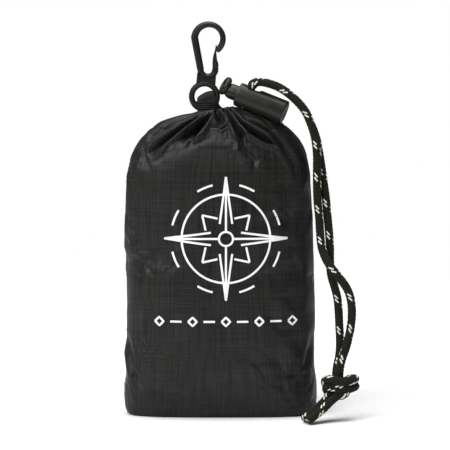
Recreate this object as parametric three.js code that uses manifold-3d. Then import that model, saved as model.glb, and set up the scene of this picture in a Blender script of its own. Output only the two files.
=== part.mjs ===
// A small backpack packed in its drawstring pouch, which stands on its flat base.
// The pouch's mouth is drawn shut round a webbing tab that carries a moulded snap hook.
// A barrel cord lock lies on the right shoulder, and its doubled drawcord hangs down the side to a knot.
// Millimetres, +Z up, front towards -Y, origin under the middle of the flat base.
import * as THREE from "three";
import { LoftGeometry } from "three/addons/geometries/LoftGeometry.js";
import { mergeVertices } from "three/addons/utils/BufferGeometryUtils.js";
import Module from "manifold-3d";

const wasm = await Module();
wasm.setup();

// Driving dimensions
const clearance = 0.3; // between pieces that touch on the real thing

const pouchHalfWidth = 59;
const pouchHalfDepth = 22;
const shoulderHeight = 142; // where the straight sides turn into the gathered dome
const domeHeight = 45;
const pouchHeight = shoulderHeight + domeHeight;
const clothWall = 1.4;
const mouthHalfWidth = 9.7; // the drawn opening that the tab fills
const mouthHalfDepth = 5;
const mouthX = -6.6; // the mouth is drawn a little to the left
const pleatCount = 18;
const pleatHeight = 1.3;

const tabWidth = 15.8;
const tabPly = 1.3;
const tabRise = 3.3; // the fold's top above the ring's centre
const tabSink = 4.5; // how deep the webbing reaches into the mouth

const hookThickness = 4;
const hookBevel = 0.9;
const hookLean = THREE.MathUtils.degToRad(3.94);
const ringRadius = 9.5;
const ringHoleRadius = 6;
const ringAside = 3.1; // how far left of the mouth the hook hangs
const ringRise = 7.3;
const ringX = mouthX - ringAside;
const ringZ = pouchHeight + ringRise;
const tabTop = ringZ + tabRise;
const tabBottom = pouchHeight - tabSink;
const waistRight = 6; // the waist's edges, measured from the ring's centre
const waistLeft = -5.2;
const waistTop = 13.3;
const throatX = 0.9; // centre of the round foot of the eye
const throatHeight = 16.2;
const loopRadius = 10.57; // outside of the hook's round top
const loopInnerRadius = 6.63;
const loopHeight = 34.9; // centre of the round top above the ring's centre
const loopInnerX = 0.43;
const loopInnerRise = 0.3; // the eye's centre above the round top's own
const noseDrop = 4.2; // the nose's inner corner below the round top's centre
const noseLip = 0.9; // its outer corner below the inner one
const noseWidth = 0.5;
const noseGap = 0.45; // the nose's outer corner beside the gate's pivot
const gatePivotX = 5.4;
const gatePivotHeight = 19;
const gateHeelRadius = 2.6;
const gateHalfWidth = 2;
const gateThickness = 3.2;
const gateLength = 13.2; // from its pivot to its tip

const barrelRadius = 7.3;
const barrelLength = 31.2;
const barrelBore = 5.7;
const barrelEnd = 1.8; // thickness of its closed end
const barrelAside = 7.4; // the barrel's mouth beside and above the pouch's
const barrelFront = 3.4;
const barrelRise = 8.9;
const barrelX = mouthX + mouthHalfWidth + barrelAside;
const barrelMouth = new THREE.Vector3(barrelX, -barrelFront, pouchHeight + barrelRise);
const barrelAxis = new THREE.Vector3(0.911, -0.2, -0.36).normalize();
const plungerTravel = 2.5;
const plungerRadius = 5.4;
const neckRadius = 4.25;
const neckLength = 7.9; // what stands out of the barrel
const plungerLength = 19; // what is inside it
const eyeRadius = 4.2;
const eyeWire = 1.45; // half the thickness of the eye's wire
const eyeRise = 1.75; // the eye's centre above the plunger's axis
const neckTip = 2.6; // radius of the neck's outer end
const neckTaper = 3.4;
const plungerInset = 0.8; // the plunger's body starts this far inside the mouth
const barrelEdge = 0.7; // the barrel's chamfers
const cordHoleReach = 6.5; // from the barrel's mouth to its cord hole
const notchRadius = 8;
const notchDepth = 1.8;

const cordDiameter = 4.8;
const pairWidth = 7.6; // both strands squeezed side by side in the cord lock
const pairThickness = 3.8;
const knotHalfWidth = 10.5;
const knotHalfDepth = 7.5;
const knotHalfHeight = 7.6;
const knotPlace = new THREE.Vector3(72.3, -25, 20.6);

// The cord's route, chosen by hand: both strands leave the lock side by side, cross once and meet in the knot.
const frontStrandRoute = [
  [18.8, -7.9, 201.0], [19.5, -8.1, 202.2], [22.4, -8.6, 203.2], [26.6, -9.2, 202.9], [33.4, -10.0, 200.9],
  [38.8, -10.5, 197.9], [43.4, -11.0, 194.3], [47.9, -11.2, 189.8], [51.5, -11.5, 185.0], [53.6, -11.8, 180.2],
  [55.7, -12.0, 174.5], [57.3, -12.0, 167.8], [58.2, -12.0, 159.4], [58.2, -12.0, 150.3], [58.3, -11.7, 141.2],
  [58.6, -11.5, 132.1], [59.6, -11.5, 122.4], [60.2, -12.0, 112.8], [61.0, -14.0, 104.5], [63.1, -16.0, 98.0],
  [66.0, -18.0, 92.8], [70.8, -19.0, 86.8], [75.7, -18.5, 80.1], [78.4, -18.5, 73.4], [79.3, -19.0, 65.6],
  [78.7, -20.0, 57.2], [76.9, -21.0, 49.4], [74.8, -22.0, 42.9], [72.8, -23.0, 37.0], [72.0, -24.4, 31.7],
  [71.8, -25.0, 26.0],
];
const backStrandRoute = [
  [19.9, -2.8, 201.0], [20.6, -3.0, 202.2], [23.3, -3.3, 203.1], [27.0, -3.7, 202.8], [33.6, -4.4, 200.7],
  [39.0, -5.0, 197.7], [43.5, -5.4, 194.1], [48.1, -5.8, 189.6], [51.7, -6.0, 184.8], [53.8, -6.2, 180.0],
  [56.3, -6.5, 174.2], [58.4, -6.7, 167.6], [60.0, -6.8, 159.1], [61.4, -7.2, 150.1], [62.7, -7.8, 141.0],
  [63.9, -8.6, 132.0], [64.8, -9.2, 122.3], [65.7, -9.8, 112.6], [66.3, -10.2, 104.2], [66.3, -10.6, 97.5],
  [66.5, -11.1, 92.1], [67.2, -12.0, 86.0], [69.1, -12.5, 79.4], [70.8, -12.8, 72.8], [71.6, -13.0, 64.9],
  [72.0, -13.7, 56.4], [72.7, -14.6, 48.6], [73.2, -15.6, 42.0], [72.0, -17.0, 36.1], [70.3, -18.6, 30.8],
  [69.6, -20.0, 25.4],
];
const frontTailRoute = [
  [70.4, -29.0, 17.4], [66.0, -32.0, 12.6], [60.8, -35.4, 8.2], [52.9, -40.2, 2.4],
];
const backTailRoute = [
  [67.6, -24.5, 17.6], [63.2, -27.5, 12.8], [58.2, -30.9, 8.4], [50.4, -35.7, 2.5],
];

// Levels of the straight part: height as a share of the shoulder height, half width and half depth as shares of
// the pouch's own, how far the middle is drawn sideways as a share of the half width, how square the plan is.
const wallLevels = [
  { rise: 0.0, width: 0.935, depth: 0.8, drift: 0.0, square: 3.0 },
  { rise: 0.009, width: 0.975, depth: 0.92, drift: 0.0, square: 2.95 },
  { rise: 0.035, width: 0.998, depth: 1.0, drift: 0.0, square: 2.9 },
  { rise: 0.14, width: 1.0, depth: 1.1, drift: 0.0, square: 2.8 },
  { rise: 0.34, width: 0.988, depth: 1.2, drift: -0.004, square: 2.65 },
  { rise: 0.56, width: 0.975, depth: 1.24, drift: -0.01, square: 2.55 },
  { rise: 0.78, width: 0.962, depth: 1.2, drift: -0.014, square: 2.5 },
  { rise: 1.0, width: 0.95, depth: 1.1, drift: -0.017, square: 2.45 },
];
// Levels of the dome, as shares of its height.
const domeLevels = [0.2, 0.38, 0.54, 0.68, 0.79, 0.87, 0.93, 0.97, 1];
const domeWidthPower = 2.3;
const domeDepthPower = 1.9;
const mouthSquare = 3.5;

// Folds and creases on the front: start and end as shares of the pouch's half width and full height, half width
// of the fold in millimetres and its depth as a share of the cloth's pleat height.
const folds = [
  { fromX: -0.28, fromZ: 0.957, toX: -0.72, toZ: 0.868, reach: 3.2, depth: 1.3 },
  { fromX: -0.16, fromZ: 0.975, toX: -0.34, toZ: 0.905, reach: 5, depth: 1.1 },
  { fromX: 0.0, fromZ: 0.975, toX: 0.0, toZ: 0.95, reach: 3.4, depth: 1.2 },
  { fromX: 0.08, fromZ: 0.97, toX: 0.22, toZ: 0.9, reach: 3, depth: 1.2 },
  { fromX: 0.22, fromZ: 0.9, toX: 0.36, toZ: 0.82, reach: 4.5, depth: 0.6 },
  { fromX: 0.15, fromZ: 0.972, toX: 0.62, toZ: 0.865, reach: 3.2, depth: 1.2 },
  { fromX: 0.42, fromZ: 0.935, toX: 0.8, toZ: 0.815, reach: 6, depth: 0.9 },
  { fromX: -0.98, fromZ: 0.22, toX: -0.84, toZ: 0.06, reach: 5, depth: 0.9 },
  { fromX: 0.97, fromZ: 0.23, toX: 0.86, toZ: 0.09, reach: 5, depth: 0.9 },
];

// The gate's blade from its heel up to its tip and down again: shares of its length and of its half width.
const gateBlade = [
  { rise: 0.061, across: 0.85 },
  { rise: 0.356, across: 0.35 },
  { rise: 0.674, across: 0.075 },
  { rise: 0.848, across: -0.075 },
  { rise: 1, across: -0.2 },
  { rise: 1, across: -0.375 },
  { rise: 0.803, across: -0.65 },
  { rise: 0.417, across: -1.025 },
];

// The folded backpack: its levels as shares of the shoulder height and then of the dome's, and how much of the
// pouch's base its foot covers.
const bundleLevels = [0.035, 0.14, 0.34, 0.56, 0.78, 1];
const bundleTopLevels = [0.3, 0.5, 0.64];
const bundleFoot = 0.94;
const deepestFold = pleatHeight * 1.6;

const columns = 72;
const tubeSides = 8;
const arcDivisions = 9;

const materials = {
  nylon: { color: 0x33332f, roughness: 0.6, metalness: 0 },
  packedCloth: { color: 0x2a2a28, roughness: 0.8, metalness: 0 },
  webbing: { color: 0x161613, roughness: 0.85, metalness: 0 },
  plastic: { color: 0x35362f, roughness: 0.42, metalness: 0 },
  cord: { color: 0x1e1e1a, roughness: 0.8, metalness: 0 },
};

// A named mesh with its own material.
function piece(name, geometry, finish) {
  const mesh = new THREE.Mesh(geometry, new THREE.MeshStandardMaterial(materials[finish]));
  mesh.name = name;
  return mesh;
}

// A closed geometry as a solid that can be joined and cut.
function toSolid(geometry) {
  const bare = new THREE.BufferGeometry();
  bare.setAttribute("position", geometry.getAttribute("position"));
  bare.setIndex(geometry.index);
  const merged = mergeVertices(bare, 1e-4);
  return new wasm.Manifold(new wasm.Mesh({
    numProp: 3,
    vertProperties: merged.attributes.position.array,
    triVerts: new Uint32Array(merged.index.array),
  }));
}

function fromSolid(solid) {
  const mesh = solid.getMesh();
  const geometry = new THREE.BufferGeometry();
  geometry.setAttribute("position", new THREE.BufferAttribute(mesh.vertProperties, 3));
  geometry.setIndex(new THREE.BufferAttribute(mesh.triVerts, 1));
  geometry.computeVertexNormals();
  return geometry;
}

const mix = (from, to, share) => from + (to - from) * share;
const smoothstep = (low, high, value) => THREE.MathUtils.smoothstep(value, low, high);
// The level table read at any share of the shoulder height.
function wallAt(rise) {
  const above = wallLevels.findIndex((level) => level.rise >= rise);
  const upper = wallLevels[Math.max(above, 1)];
  const lower = wallLevels[Math.max(above, 1) - 1];
  const share = (rise - lower.rise) / (upper.rise - lower.rise);
  const read = (key) => mix(lower[key], upper[key], share);
  return { width: read("width"), depth: read("depth"), drift: read("drift"), square: read("square") };
}

// How far the dome has closed at a share of its height, 1 at the shoulder and 0 at the mouth.
const closing = (share, power) => (1 - share ** power) ** (1 / power);
const closeTo = (size, mouth) => Math.cbrt(size ** 3 + mouth ** 3);

// One level of the pouch's smooth outside: height, half width, half depth, sideways place and squareness.
function levelAt(z) {
  if (z <= shoulderHeight) {
    const row = wallAt(z / shoulderHeight);
    return {
      z,
      width: row.width * pouchHalfWidth,
      depth: row.depth * pouchHalfDepth,
      x: row.drift * pouchHalfWidth,
      square: row.square,
    };
  }
  const share = Math.min((z - shoulderHeight) / domeHeight, 1);
  const row = wallAt(1);
  const width = row.width * pouchHalfWidth * closing(share, domeWidthPower);
  const depth = row.depth * pouchHalfDepth * closing(share, domeDepthPower);
  return {
    z,
    width: closeTo(width, mouthHalfWidth + clothWall),
    depth: closeTo(depth, mouthHalfDepth + clothWall),
    x: mix(row.drift * pouchHalfWidth, mouthX, share ** 6),
    square: mix(row.square, mouthSquare, share ** 4),
  };
}

// A point of the smooth outside at an angle round the pouch.
function smoothPoint(angle, z) {
  const level = levelAt(z);
  const round = (value) => Math.sign(value) * Math.abs(value) ** (2 / level.square);
  return new THREE.Vector3(
    level.x + level.width * round(Math.cos(angle)),
    level.depth * round(Math.sin(angle)),
    z,
  );
}

// The outward direction there, from two neighbours along the surface.
function outward(angle, z) {
  const step = 0.4;
  const low = Math.min(z, pouchHeight - step);
  const along = smoothPoint(angle, low + step).sub(smoothPoint(angle, Math.max(low - step, 0)));
  const around = smoothPoint(angle + 0.02, z).sub(smoothPoint(angle - 0.02, z));
  return around.cross(along).normalize();
}

// How far the cloth is folded inwards at a point of the front.
function foldDepth(point) {
  let depth = 0;
  for (const fold of folds) {
    const from = new THREE.Vector2(fold.fromX * pouchHalfWidth, fold.fromZ * pouchHeight);
    const to = new THREE.Vector2(fold.toX * pouchHalfWidth, fold.toZ * pouchHeight);
    const place = new THREE.Vector2(point.x, point.z);
    const line = to.clone().sub(from);
    const share = THREE.MathUtils.clamp(place.clone().sub(from).dot(line) / line.lengthSq(), 0, 1);
    const away = place.distanceTo(from.addScaledVector(line, share)) / fold.reach;
    depth += fold.depth * pleatHeight * Math.exp(-away * away);
  }
  return point.y < 0 ? depth : 0;
}

// The cloth pressed down under the cord lock, which lies on the shoulder.
function pressed(point) {
  const across = point.clone().sub(barrelMouth);
  const along = across.dot(barrelAxis);
  across.addScaledVector(barrelAxis, -along);
  const overrun = barrelRadius * 0.4;
  const room = barrelRadius + 2 * clearance - across.length();
  if (along < -overrun || along > barrelLength + overrun || room <= 0) return point;
  return point.addScaledVector(across.normalize(), room);
}

// A point of the cloth, folded and gathered, at a depth below its outside.
function clothPoint(angle, z, inset) {
  const point = smoothPoint(angle, z);
  const share = (z - shoulderHeight) / domeHeight;
  const gathered = smoothstep(0.35, 0.86, share) * (1 - smoothstep(0.93, 1, share));
  const pleat = pleatHeight * gathered * Math.cos(angle * pleatCount);
  const folded = foldDepth(point) * (1 - smoothstep(0.97, 1, share));
  const direction = outward(angle, z);
  return pressed(point.addScaledVector(direction, pleat - folded)).addScaledVector(direction, -inset);
}

function ringOf(pointAt) {
  return Array.from({ length: columns }, (_, index) => pointAt((index / columns) * 2 * Math.PI));
}

// The pouch: a closed outer form with a like form, one cloth wall smaller, cut out of it through the mouth.
function makePouch() {
  const heights = [
    ...wallLevels.slice(1).map((level) => level.rise * shoulderHeight),
    ...domeLevels.map((share) => shoulderHeight + share * domeHeight),
  ];
  const base = ringOf((angle) => smoothPoint(angle, 0));
  const outside = heights.map((z) => ringOf((angle) => clothPoint(angle, z, 0)));
  const floor = ringOf((angle) => smoothPoint(angle, 0).setZ(clothWall));
  const inside = heights.slice(1).map((z) => ringOf((angle) => clothPoint(angle, z, clothWall)));
  const wayOut = ringOf((angle) => clothPoint(angle, pouchHeight, clothWall).setZ(pouchHeight + clothWall));
  const caps = { capStart: true, capEnd: true };
  const outer = toSolid(new LoftGeometry([base, ...outside], caps));
  const inner = toSolid(new LoftGeometry([floor, ...inside, wayOut], caps));
  return fromSolid(outer.subtract(inner));
}

// The backpack itself, folded to a firm bundle that fills the pouch below its gathers.
function makeBundle() {
  const base = clothWall + clearance;
  const inset = base + deepestFold;
  const sides = bundleLevels.map((rise) => {
    const z = rise * shoulderHeight + base;
    const middle = new THREE.Vector3(0, 0, z);
    return ringOf((angle) => clothPoint(angle, z, 0).lerp(middle, inset / pouchHalfDepth));
  });
  const top = bundleTopLevels.map((share) => {
    const z = shoulderHeight + share * domeHeight;
    const narrowing = (inset + share * deepestFold) / pouchHalfDepth;
    return ringOf((angle) => smoothPoint(angle, z).lerp(new THREE.Vector3(0, 0, z), narrowing));
  });
  const foot = ringOf((angle) => smoothPoint(angle, 0).multiplyScalar(bundleFoot).setZ(base));
  return new LoftGeometry([foot, ...sides, ...top], { capStart: true, capEnd: true });
}

// The folded webbing: up in front of the ring's lowest wire, over it and down behind.
function makeTab() {
  const halfGap = hookThickness / 2 + clearance + tabPly / 2;
  const bend = tabTop - halfGap - tabPly / 2;
  const spread = [
    { z: tabBottom, x: mouthX, width: 1 },
    { z: shoulderHeight + domeHeight, x: mouthX, width: 1 },
    { z: mix(bend, pouchHeight, 0.5), x: mix(mouthX, ringX, 0.5), width: 0.87 },
    { z: bend, x: mix(mouthX, ringX, 0.75), width: 0.72 },
  ];
  const stations = spread.map((row) => ({ y: -halfGap, z: row.z, turn: 0, x: row.x, width: row.width }));
  const arcSteps = 6;
  for (let step = 1; step < arcSteps; step++) {
    const turn = (step / arcSteps) * Math.PI;
    const y = -halfGap * Math.cos(turn);
    const z = bend + halfGap * Math.sin(turn);
    stations.push({ y, z, turn, x: mix(mouthX, ringX, 0.9), width: 0.55 });
  }
  for (const row of spread.toReversed()) {
    stations.push({ y: halfGap, z: row.z, turn: Math.PI, x: row.x, width: row.width });
  }
  const sections = stations.map(({ y, z, turn, x, width }) => {
    const out = new THREE.Vector2(-Math.cos(turn), Math.sin(turn)).multiplyScalar(tabPly / 2);
    const half = (tabWidth / 2) * width;
    return [
      new THREE.Vector3(x - half, y + out.x, z + out.y),
      new THREE.Vector3(x + half, y + out.x, z + out.y),
      new THREE.Vector3(x + half, y - out.x, z - out.y),
      new THREE.Vector3(x - half, y - out.x, z - out.y),
    ];
  });
  return new LoftGeometry(sections, { capStart: true, capEnd: true });
}

// An outline as a polygon without the repeated points where its arcs and lines meet.
function polygonOf(outline, divisions) {
  const distinct = (points) => points.filter((point, index) =>
    point.distanceTo(points[(index + 1) % points.length]) > 0.01);
  const found = outline.extractPoints(divisions);
  const polygon = new THREE.Shape(distinct(found.shape));
  polygon.holes = found.holes.map((hole) => new THREE.Path(distinct(hole)));
  return polygon;
}

// The hook's outline, measured from its ring's centre: waist, gate seat, eye, nose, round top, shank and ring.
function makeHook() {
  const throatRadius = gatePivotX - gateHalfWidth - throatX;
  const limbTop = gatePivotHeight - gateHeelRadius + 1;
  const noseInner = new THREE.Vector2(gatePivotX + noseGap + noseWidth, loopHeight - noseDrop);
  const noseAngle = THREE.MathUtils.degToRad(-46.2);
  const noseInnerAngle = THREE.MathUtils.degToRad(-24);
  const outline = new THREE.Shape();
  outline.moveTo(waistRight, Math.sqrt(ringRadius ** 2 - waistRight ** 2));
  outline.lineTo(waistRight + 0.1, waistTop);
  outline.lineTo(gatePivotX + gateHalfWidth, limbTop);
  outline.lineTo(gatePivotX - gateHalfWidth, limbTop);
  outline.absarc(throatX, throatHeight, throatRadius, 0, -Math.PI, true);
  outline.absarc(loopInnerX, loopHeight + loopInnerRise, loopInnerRadius, Math.PI, noseInnerAngle, true);
  outline.lineTo(noseInner.x, noseInner.y);
  outline.lineTo(noseInner.x - noseWidth, noseInner.y - noseLip);
  outline.absarc(0, loopHeight, loopRadius, noseAngle, Math.PI, false);
  outline.lineTo(waistLeft - 0.2, waistTop);
  const ringStart = Math.acos(waistLeft / ringRadius);
  const ringEnd = 2 * Math.PI + Math.acos(waistRight / ringRadius);
  outline.absarc(0, 0, ringRadius, ringStart, ringEnd);
  const hole = new THREE.Path();
  hole.absarc(0, 0, ringHoleRadius, 0, 2 * Math.PI, true);
  outline.holes.push(hole);
  const geometry = new THREE.ExtrudeGeometry(polygonOf(outline, arcDivisions), {
    depth: hookThickness - 2 * hookBevel,
    bevelEnabled: true,
    bevelThickness: hookBevel,
    bevelSize: hookBevel,
    bevelOffset: -hookBevel,
    bevelSegments: 1,
  });
  geometry.translate(0, 0, hookBevel - hookThickness / 2);
  const seatRadius = gateHeelRadius + clearance;
  const seat = new THREE.CylinderGeometry(seatRadius, seatRadius, 2 * hookThickness, 36);
  seat.rotateX(Math.PI / 2);
  seat.translate(gatePivotX, gatePivotHeight, 0);
  return fromSolid(toSolid(geometry).subtract(toSolid(seat)));
}

// The springy gate, in the hook's frame: a round heel on its seat, tapering to a thin tip inside the nose.
function makeGate() {
  const heelAngle = Math.acos(gateHalfWidth / gateHeelRadius);
  const outline = new THREE.Shape();
  outline.absarc(gatePivotX, gatePivotHeight, gateHeelRadius, -Math.PI + heelAngle, -heelAngle, false);
  for (const { rise, across } of gateBlade) {
    outline.lineTo(gatePivotX + across * gateHalfWidth, gatePivotHeight + rise * gateLength);
  }
  const settings = { depth: gateThickness, bevelEnabled: false };
  const geometry = new THREE.ExtrudeGeometry(polygonOf(outline, arcDivisions), settings);
  return geometry.translate(0, 0, -gateThickness / 2);
}

// A slot with round corners, cut or filled along Z: its half width lies along X and its half length along Y.
function roundSlot(halfX, halfY, radius, from, to) {
  const reachX = halfX - radius;
  const reachY = halfY - radius;
  const outline = new THREE.Shape();
  outline.absarc(reachX, reachY, radius, 0, Math.PI / 2, false);
  outline.absarc(-reachX, reachY, radius, Math.PI / 2, Math.PI, false);
  outline.absarc(-reachX, -reachY, radius, Math.PI, 1.5 * Math.PI, false);
  outline.absarc(reachX, -reachY, radius, 1.5 * Math.PI, 2 * Math.PI, false);
  const geometry = new THREE.ExtrudeGeometry(polygonOf(outline, 3), { depth: to - from, bevelEnabled: false });
  return geometry.translate(0, 0, from);
}

const holeHalfWidth = pairWidth / 2 + clearance;
const holeHalfLength = pairThickness / 2 + clearance;

// The barrel, along +Y from its mouth, with its cord hole along Z and a scooped notch where the cord leaves.
function makeBarrel() {
  const edge = barrelEdge;
  const floorAt = barrelLength - barrelEnd;
  const profile = [
    [0, floorAt], [barrelBore, floorAt], [barrelBore, edge / 2], [barrelBore + edge / 2, 0],
    [barrelRadius - edge, 0], [barrelRadius, edge], [barrelRadius, barrelLength - edge],
    [barrelRadius - edge, barrelLength], [0, barrelLength],
  ].map(([radius, along]) => new THREE.Vector2(radius, along));
  const body = toSolid(new THREE.LatheGeometry(profile, 32));
  const through = 2 * barrelRadius;
  const hole = roundSlot(holeHalfWidth, holeHalfLength, holeHalfLength, -through, through);
  hole.translate(0, cordHoleReach, 0);
  const scoop = new THREE.CylinderGeometry(notchRadius, notchRadius, 4 * barrelRadius, 40);
  scoop.rotateZ(Math.PI / 2);
  scoop.translate(0, cordHoleReach + notchDepth, barrelRadius + notchRadius - notchDepth);
  return fromSolid(body.subtract(toSolid(hole)).subtract(toSolid(scoop)));
}

// The plunger, in the barrel's frame: a body with the cord slot, a neck and the eye at its outer end.
function makePlunger() {
  const profile = [
    [0, -neckLength], [neckTip, -neckLength], [neckRadius, neckTaper - neckLength], [neckRadius, plungerInset],
    [plungerRadius, plungerInset], [plungerRadius, plungerLength], [0, plungerLength],
  ].map(([radius, along]) => new THREE.Vector2(radius, along));
  const body = toSolid(new THREE.LatheGeometry(profile, 28));
  const eye = new THREE.TorusGeometry(eyeRadius, eyeWire, 12, 28);
  eye.rotateX(Math.PI / 2);
  eye.translate(0, -neckLength - eyeWire * 0.6, eyeRise);
  const slotEnd = cordHoleReach + holeHalfLength;
  const slotStart = cordHoleReach - holeHalfLength - plungerTravel;
  const through = 2 * plungerRadius;
  const slot = roundSlot(holeHalfWidth, (slotEnd - slotStart) / 2, holeHalfLength, -through, through);
  slot.translate(0, (slotStart + slotEnd) / 2, 0);
  return fromSolid(body.add(toSolid(eye)).subtract(toSolid(slot)));
}

// A cord along its route.
function makeStrand(route, steps) {
  const points = route.map((point) => new THREE.Vector3(...point));
  const path = new THREE.CatmullRomCurve3(points, false, "centripetal");
  const section = new THREE.Shape();
  for (let side = 0; side < tubeSides; side++) {
    const angle = (side / tubeSides) * 2 * Math.PI;
    const x = (cordDiameter / 2) * Math.cos(angle);
    const y = (cordDiameter / 2) * Math.sin(angle);
    if (side === 0) section.moveTo(x, y);
    else section.lineTo(x, y);
  }
  section.closePath();
  return new THREE.ExtrudeGeometry(section, { steps, extrudePath: path, curveSegments: 1 });
}

// The knot's outer form, grown by a gap where it trims the strands that run into it.
function knotForm(gap) {
  const geometry = new THREE.SphereGeometry(1, 20, 14);
  geometry.scale(knotHalfWidth + gap, knotHalfDepth + gap, knotHalfHeight + gap);
  return geometry.translate(knotPlace.x, knotPlace.y, knotPlace.z);
}

// The part of a strand outside the knot; the end that was inside it falls away.
function trimmedStrand(route, steps) {
  const pieces = toSolid(makeStrand(route, steps)).subtract(toSolid(knotForm(clearance))).decompose();
  const largest = pieces.reduce((best, next) => (next.volume() > best.volume() ? next : best));
  return fromSolid(largest);
}

const part = new THREE.Group();
part.add(piece("pouch", makePouch(), "nylon"));
part.add(piece("folded_backpack", makeBundle(), "packedCloth"));
part.add(piece("webbing_tab", makeTab(), "webbing"));

const hookGroup = new THREE.Group();
hookGroup.position.set(ringX, 0, ringZ);
hookGroup.rotation.y = hookLean;
const hookUpright = new THREE.Group();
hookUpright.rotation.x = Math.PI / 2;
hookUpright.add(piece("snap_hook", makeHook(), "plastic"));
hookUpright.add(piece("hook_gate", makeGate(), "plastic"));
hookGroup.add(hookUpright);
part.add(hookGroup);

// The cord lock's frame: Y along the barrel, Z up its cord hole.
const lockUp = new THREE.Vector3(0, 0, 1).addScaledVector(barrelAxis, -barrelAxis.z).normalize();
const lockSide = barrelAxis.clone().cross(lockUp);
const lock = new THREE.Group();
lock.position.copy(barrelMouth);
lock.quaternion.setFromRotationMatrix(new THREE.Matrix4().makeBasis(lockSide, barrelAxis, lockUp));
const feedRadius = pairThickness / 2;
const feedFoot = -barrelRadius - clearance / 2;
const feed = roundSlot(pairWidth / 2, feedRadius, feedRadius, feedFoot, barrelRadius + clearance);
feed.translate(0, cordHoleReach, 0);
lock.add(piece("toggle_barrel", makeBarrel(), "plastic"));
lock.add(piece("toggle_plunger", makePlunger(), "plastic"));
lock.add(piece("drawcord_feed", feed, "cord"));
part.add(lock);

part.add(piece("drawcord_front", trimmedStrand(frontStrandRoute, 28), "cord"));
part.add(piece("drawcord_back", trimmedStrand(backStrandRoute, 28), "cord"));
part.add(piece("cord_knot", knotForm(0), "cord"));
part.add(piece("cord_tail_front", trimmedStrand(frontTailRoute, 4), "cord"));
part.add(piece("cord_tail_back", trimmedStrand(backTailRoute, 4), "cord"));

export default part;
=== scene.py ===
"""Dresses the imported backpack's frame: pouch, webbing tab, snap hook, cord lock, drawcord and studio.

Metres, +Z up, front towards -Y. The sizes repeat the part's own driving sizes, in millimetres times MM.
"""

import logging
import math
from dataclasses import dataclass, field
from enum import Enum
from typing import Callable, Iterable, Sequence

import bmesh
import bpy
import numpy as np
from mathutils import Matrix, Vector, noise
from mathutils.bvhtree import BVHTree


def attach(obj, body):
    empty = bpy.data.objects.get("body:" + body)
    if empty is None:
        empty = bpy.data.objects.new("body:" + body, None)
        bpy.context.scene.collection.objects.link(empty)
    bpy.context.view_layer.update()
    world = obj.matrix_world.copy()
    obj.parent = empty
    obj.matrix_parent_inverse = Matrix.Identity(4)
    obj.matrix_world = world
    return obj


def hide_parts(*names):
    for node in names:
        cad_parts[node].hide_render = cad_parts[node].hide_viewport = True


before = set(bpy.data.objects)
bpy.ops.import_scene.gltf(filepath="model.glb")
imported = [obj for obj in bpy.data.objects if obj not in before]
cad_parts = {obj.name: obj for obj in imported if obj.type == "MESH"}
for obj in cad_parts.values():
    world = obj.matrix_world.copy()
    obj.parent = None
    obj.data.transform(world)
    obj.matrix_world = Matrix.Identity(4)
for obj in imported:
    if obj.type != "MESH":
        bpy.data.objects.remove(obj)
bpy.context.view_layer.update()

MM = 0.001
PACK = "pack"
GATE = "gate"
PLUNGER = "plunger"
CREASE_ANGLE = math.radians(38)

log = logging.getLogger("packed_backpack")


class Repeat(Enum):
    """The small item that a repeat places along a path."""

    STITCH = "stitch"
    ROD = "rod"


# Numbers


def share_of(value: np.ndarray, low: float, high: float) -> np.ndarray:
    """Return how far values are on their way from low to high, from 0 to 1."""
    return np.clip((value - low) / (high - low), 0, 1)


def eased(share: np.ndarray) -> np.ndarray:
    """Return a share that starts and ends gently."""
    return share * share * (3 - 2 * share)


def bell(away: np.ndarray, width: float) -> np.ndarray:
    """Return 1 where there is no distance, falling off over a width."""
    return np.exp(-((away / width) ** 2))


# Meshes


def configured(thing: bpy.types.bpy_struct, **settings) -> bpy.types.bpy_struct:
    """Set properties of one of Blender's things and return it.

    Args:
        thing: What has the properties.
        settings: Their values.

    Returns:
        The same thing.
    """
    for key, value in settings.items():
        setattr(thing, key, value)
    return thing


def linked(name: str, data: bpy.types.ID) -> bpy.types.Object:
    """Make an object of some data and put it in the scene.

    Args:
        name: The object's name.
        data: Its mesh, lamp or camera.

    Returns:
        The new object.
    """
    made = bpy.data.objects.new(name, data)
    bpy.context.scene.collection.objects.link(made)
    return made


def mesh_object(name: str, points: Iterable, faces: Iterable, material: bpy.types.Material | None = None,
                smooth: bool = True) -> bpy.types.Object:
    """Make an object from points and faces and put it in the scene.

    Args:
        name: The piece's name.
        points: Places in metres.
        faces: Point numbers of each face.
        material: Its only material, if it has one.
        smooth: Whether its faces are shaded smooth.

    Returns:
        The new object.
    """
    mesh = bpy.data.meshes.new(name)
    mesh.from_pydata([tuple(float(v) for v in p) for p in points], [], [tuple(int(i) for i in f) for f in faces])
    mesh.validate()
    mesh.polygons.foreach_set("use_smooth", [smooth] * len(mesh.polygons))
    if material is not None:
        mesh.materials.append(material)
    return linked(name, mesh)


def grid_faces(rows: int, columns: int, caps: bool = False, ring: bool = False) -> list:
    """Return the faces of a grid whose rows close round.

    Args:
        rows: Number of rows of points.
        columns: Number of points in a row.
        caps: Whether one face closes each end.
        ring: Whether the last row joins the first.

    Returns:
        Point numbers of each face.
    """
    faces = [
        (r * columns + c, r * columns + d, (r + 1) % rows * columns + d, (r + 1) % rows * columns + c)
        for r in range(rows if ring else rows - 1)
        for c, d in ((c, (c + 1) % columns) for c in range(columns))
    ]
    if caps:
        faces += [tuple(reversed(range(columns))), tuple(range((rows - 1) * columns, rows * columns))]
    return faces


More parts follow.
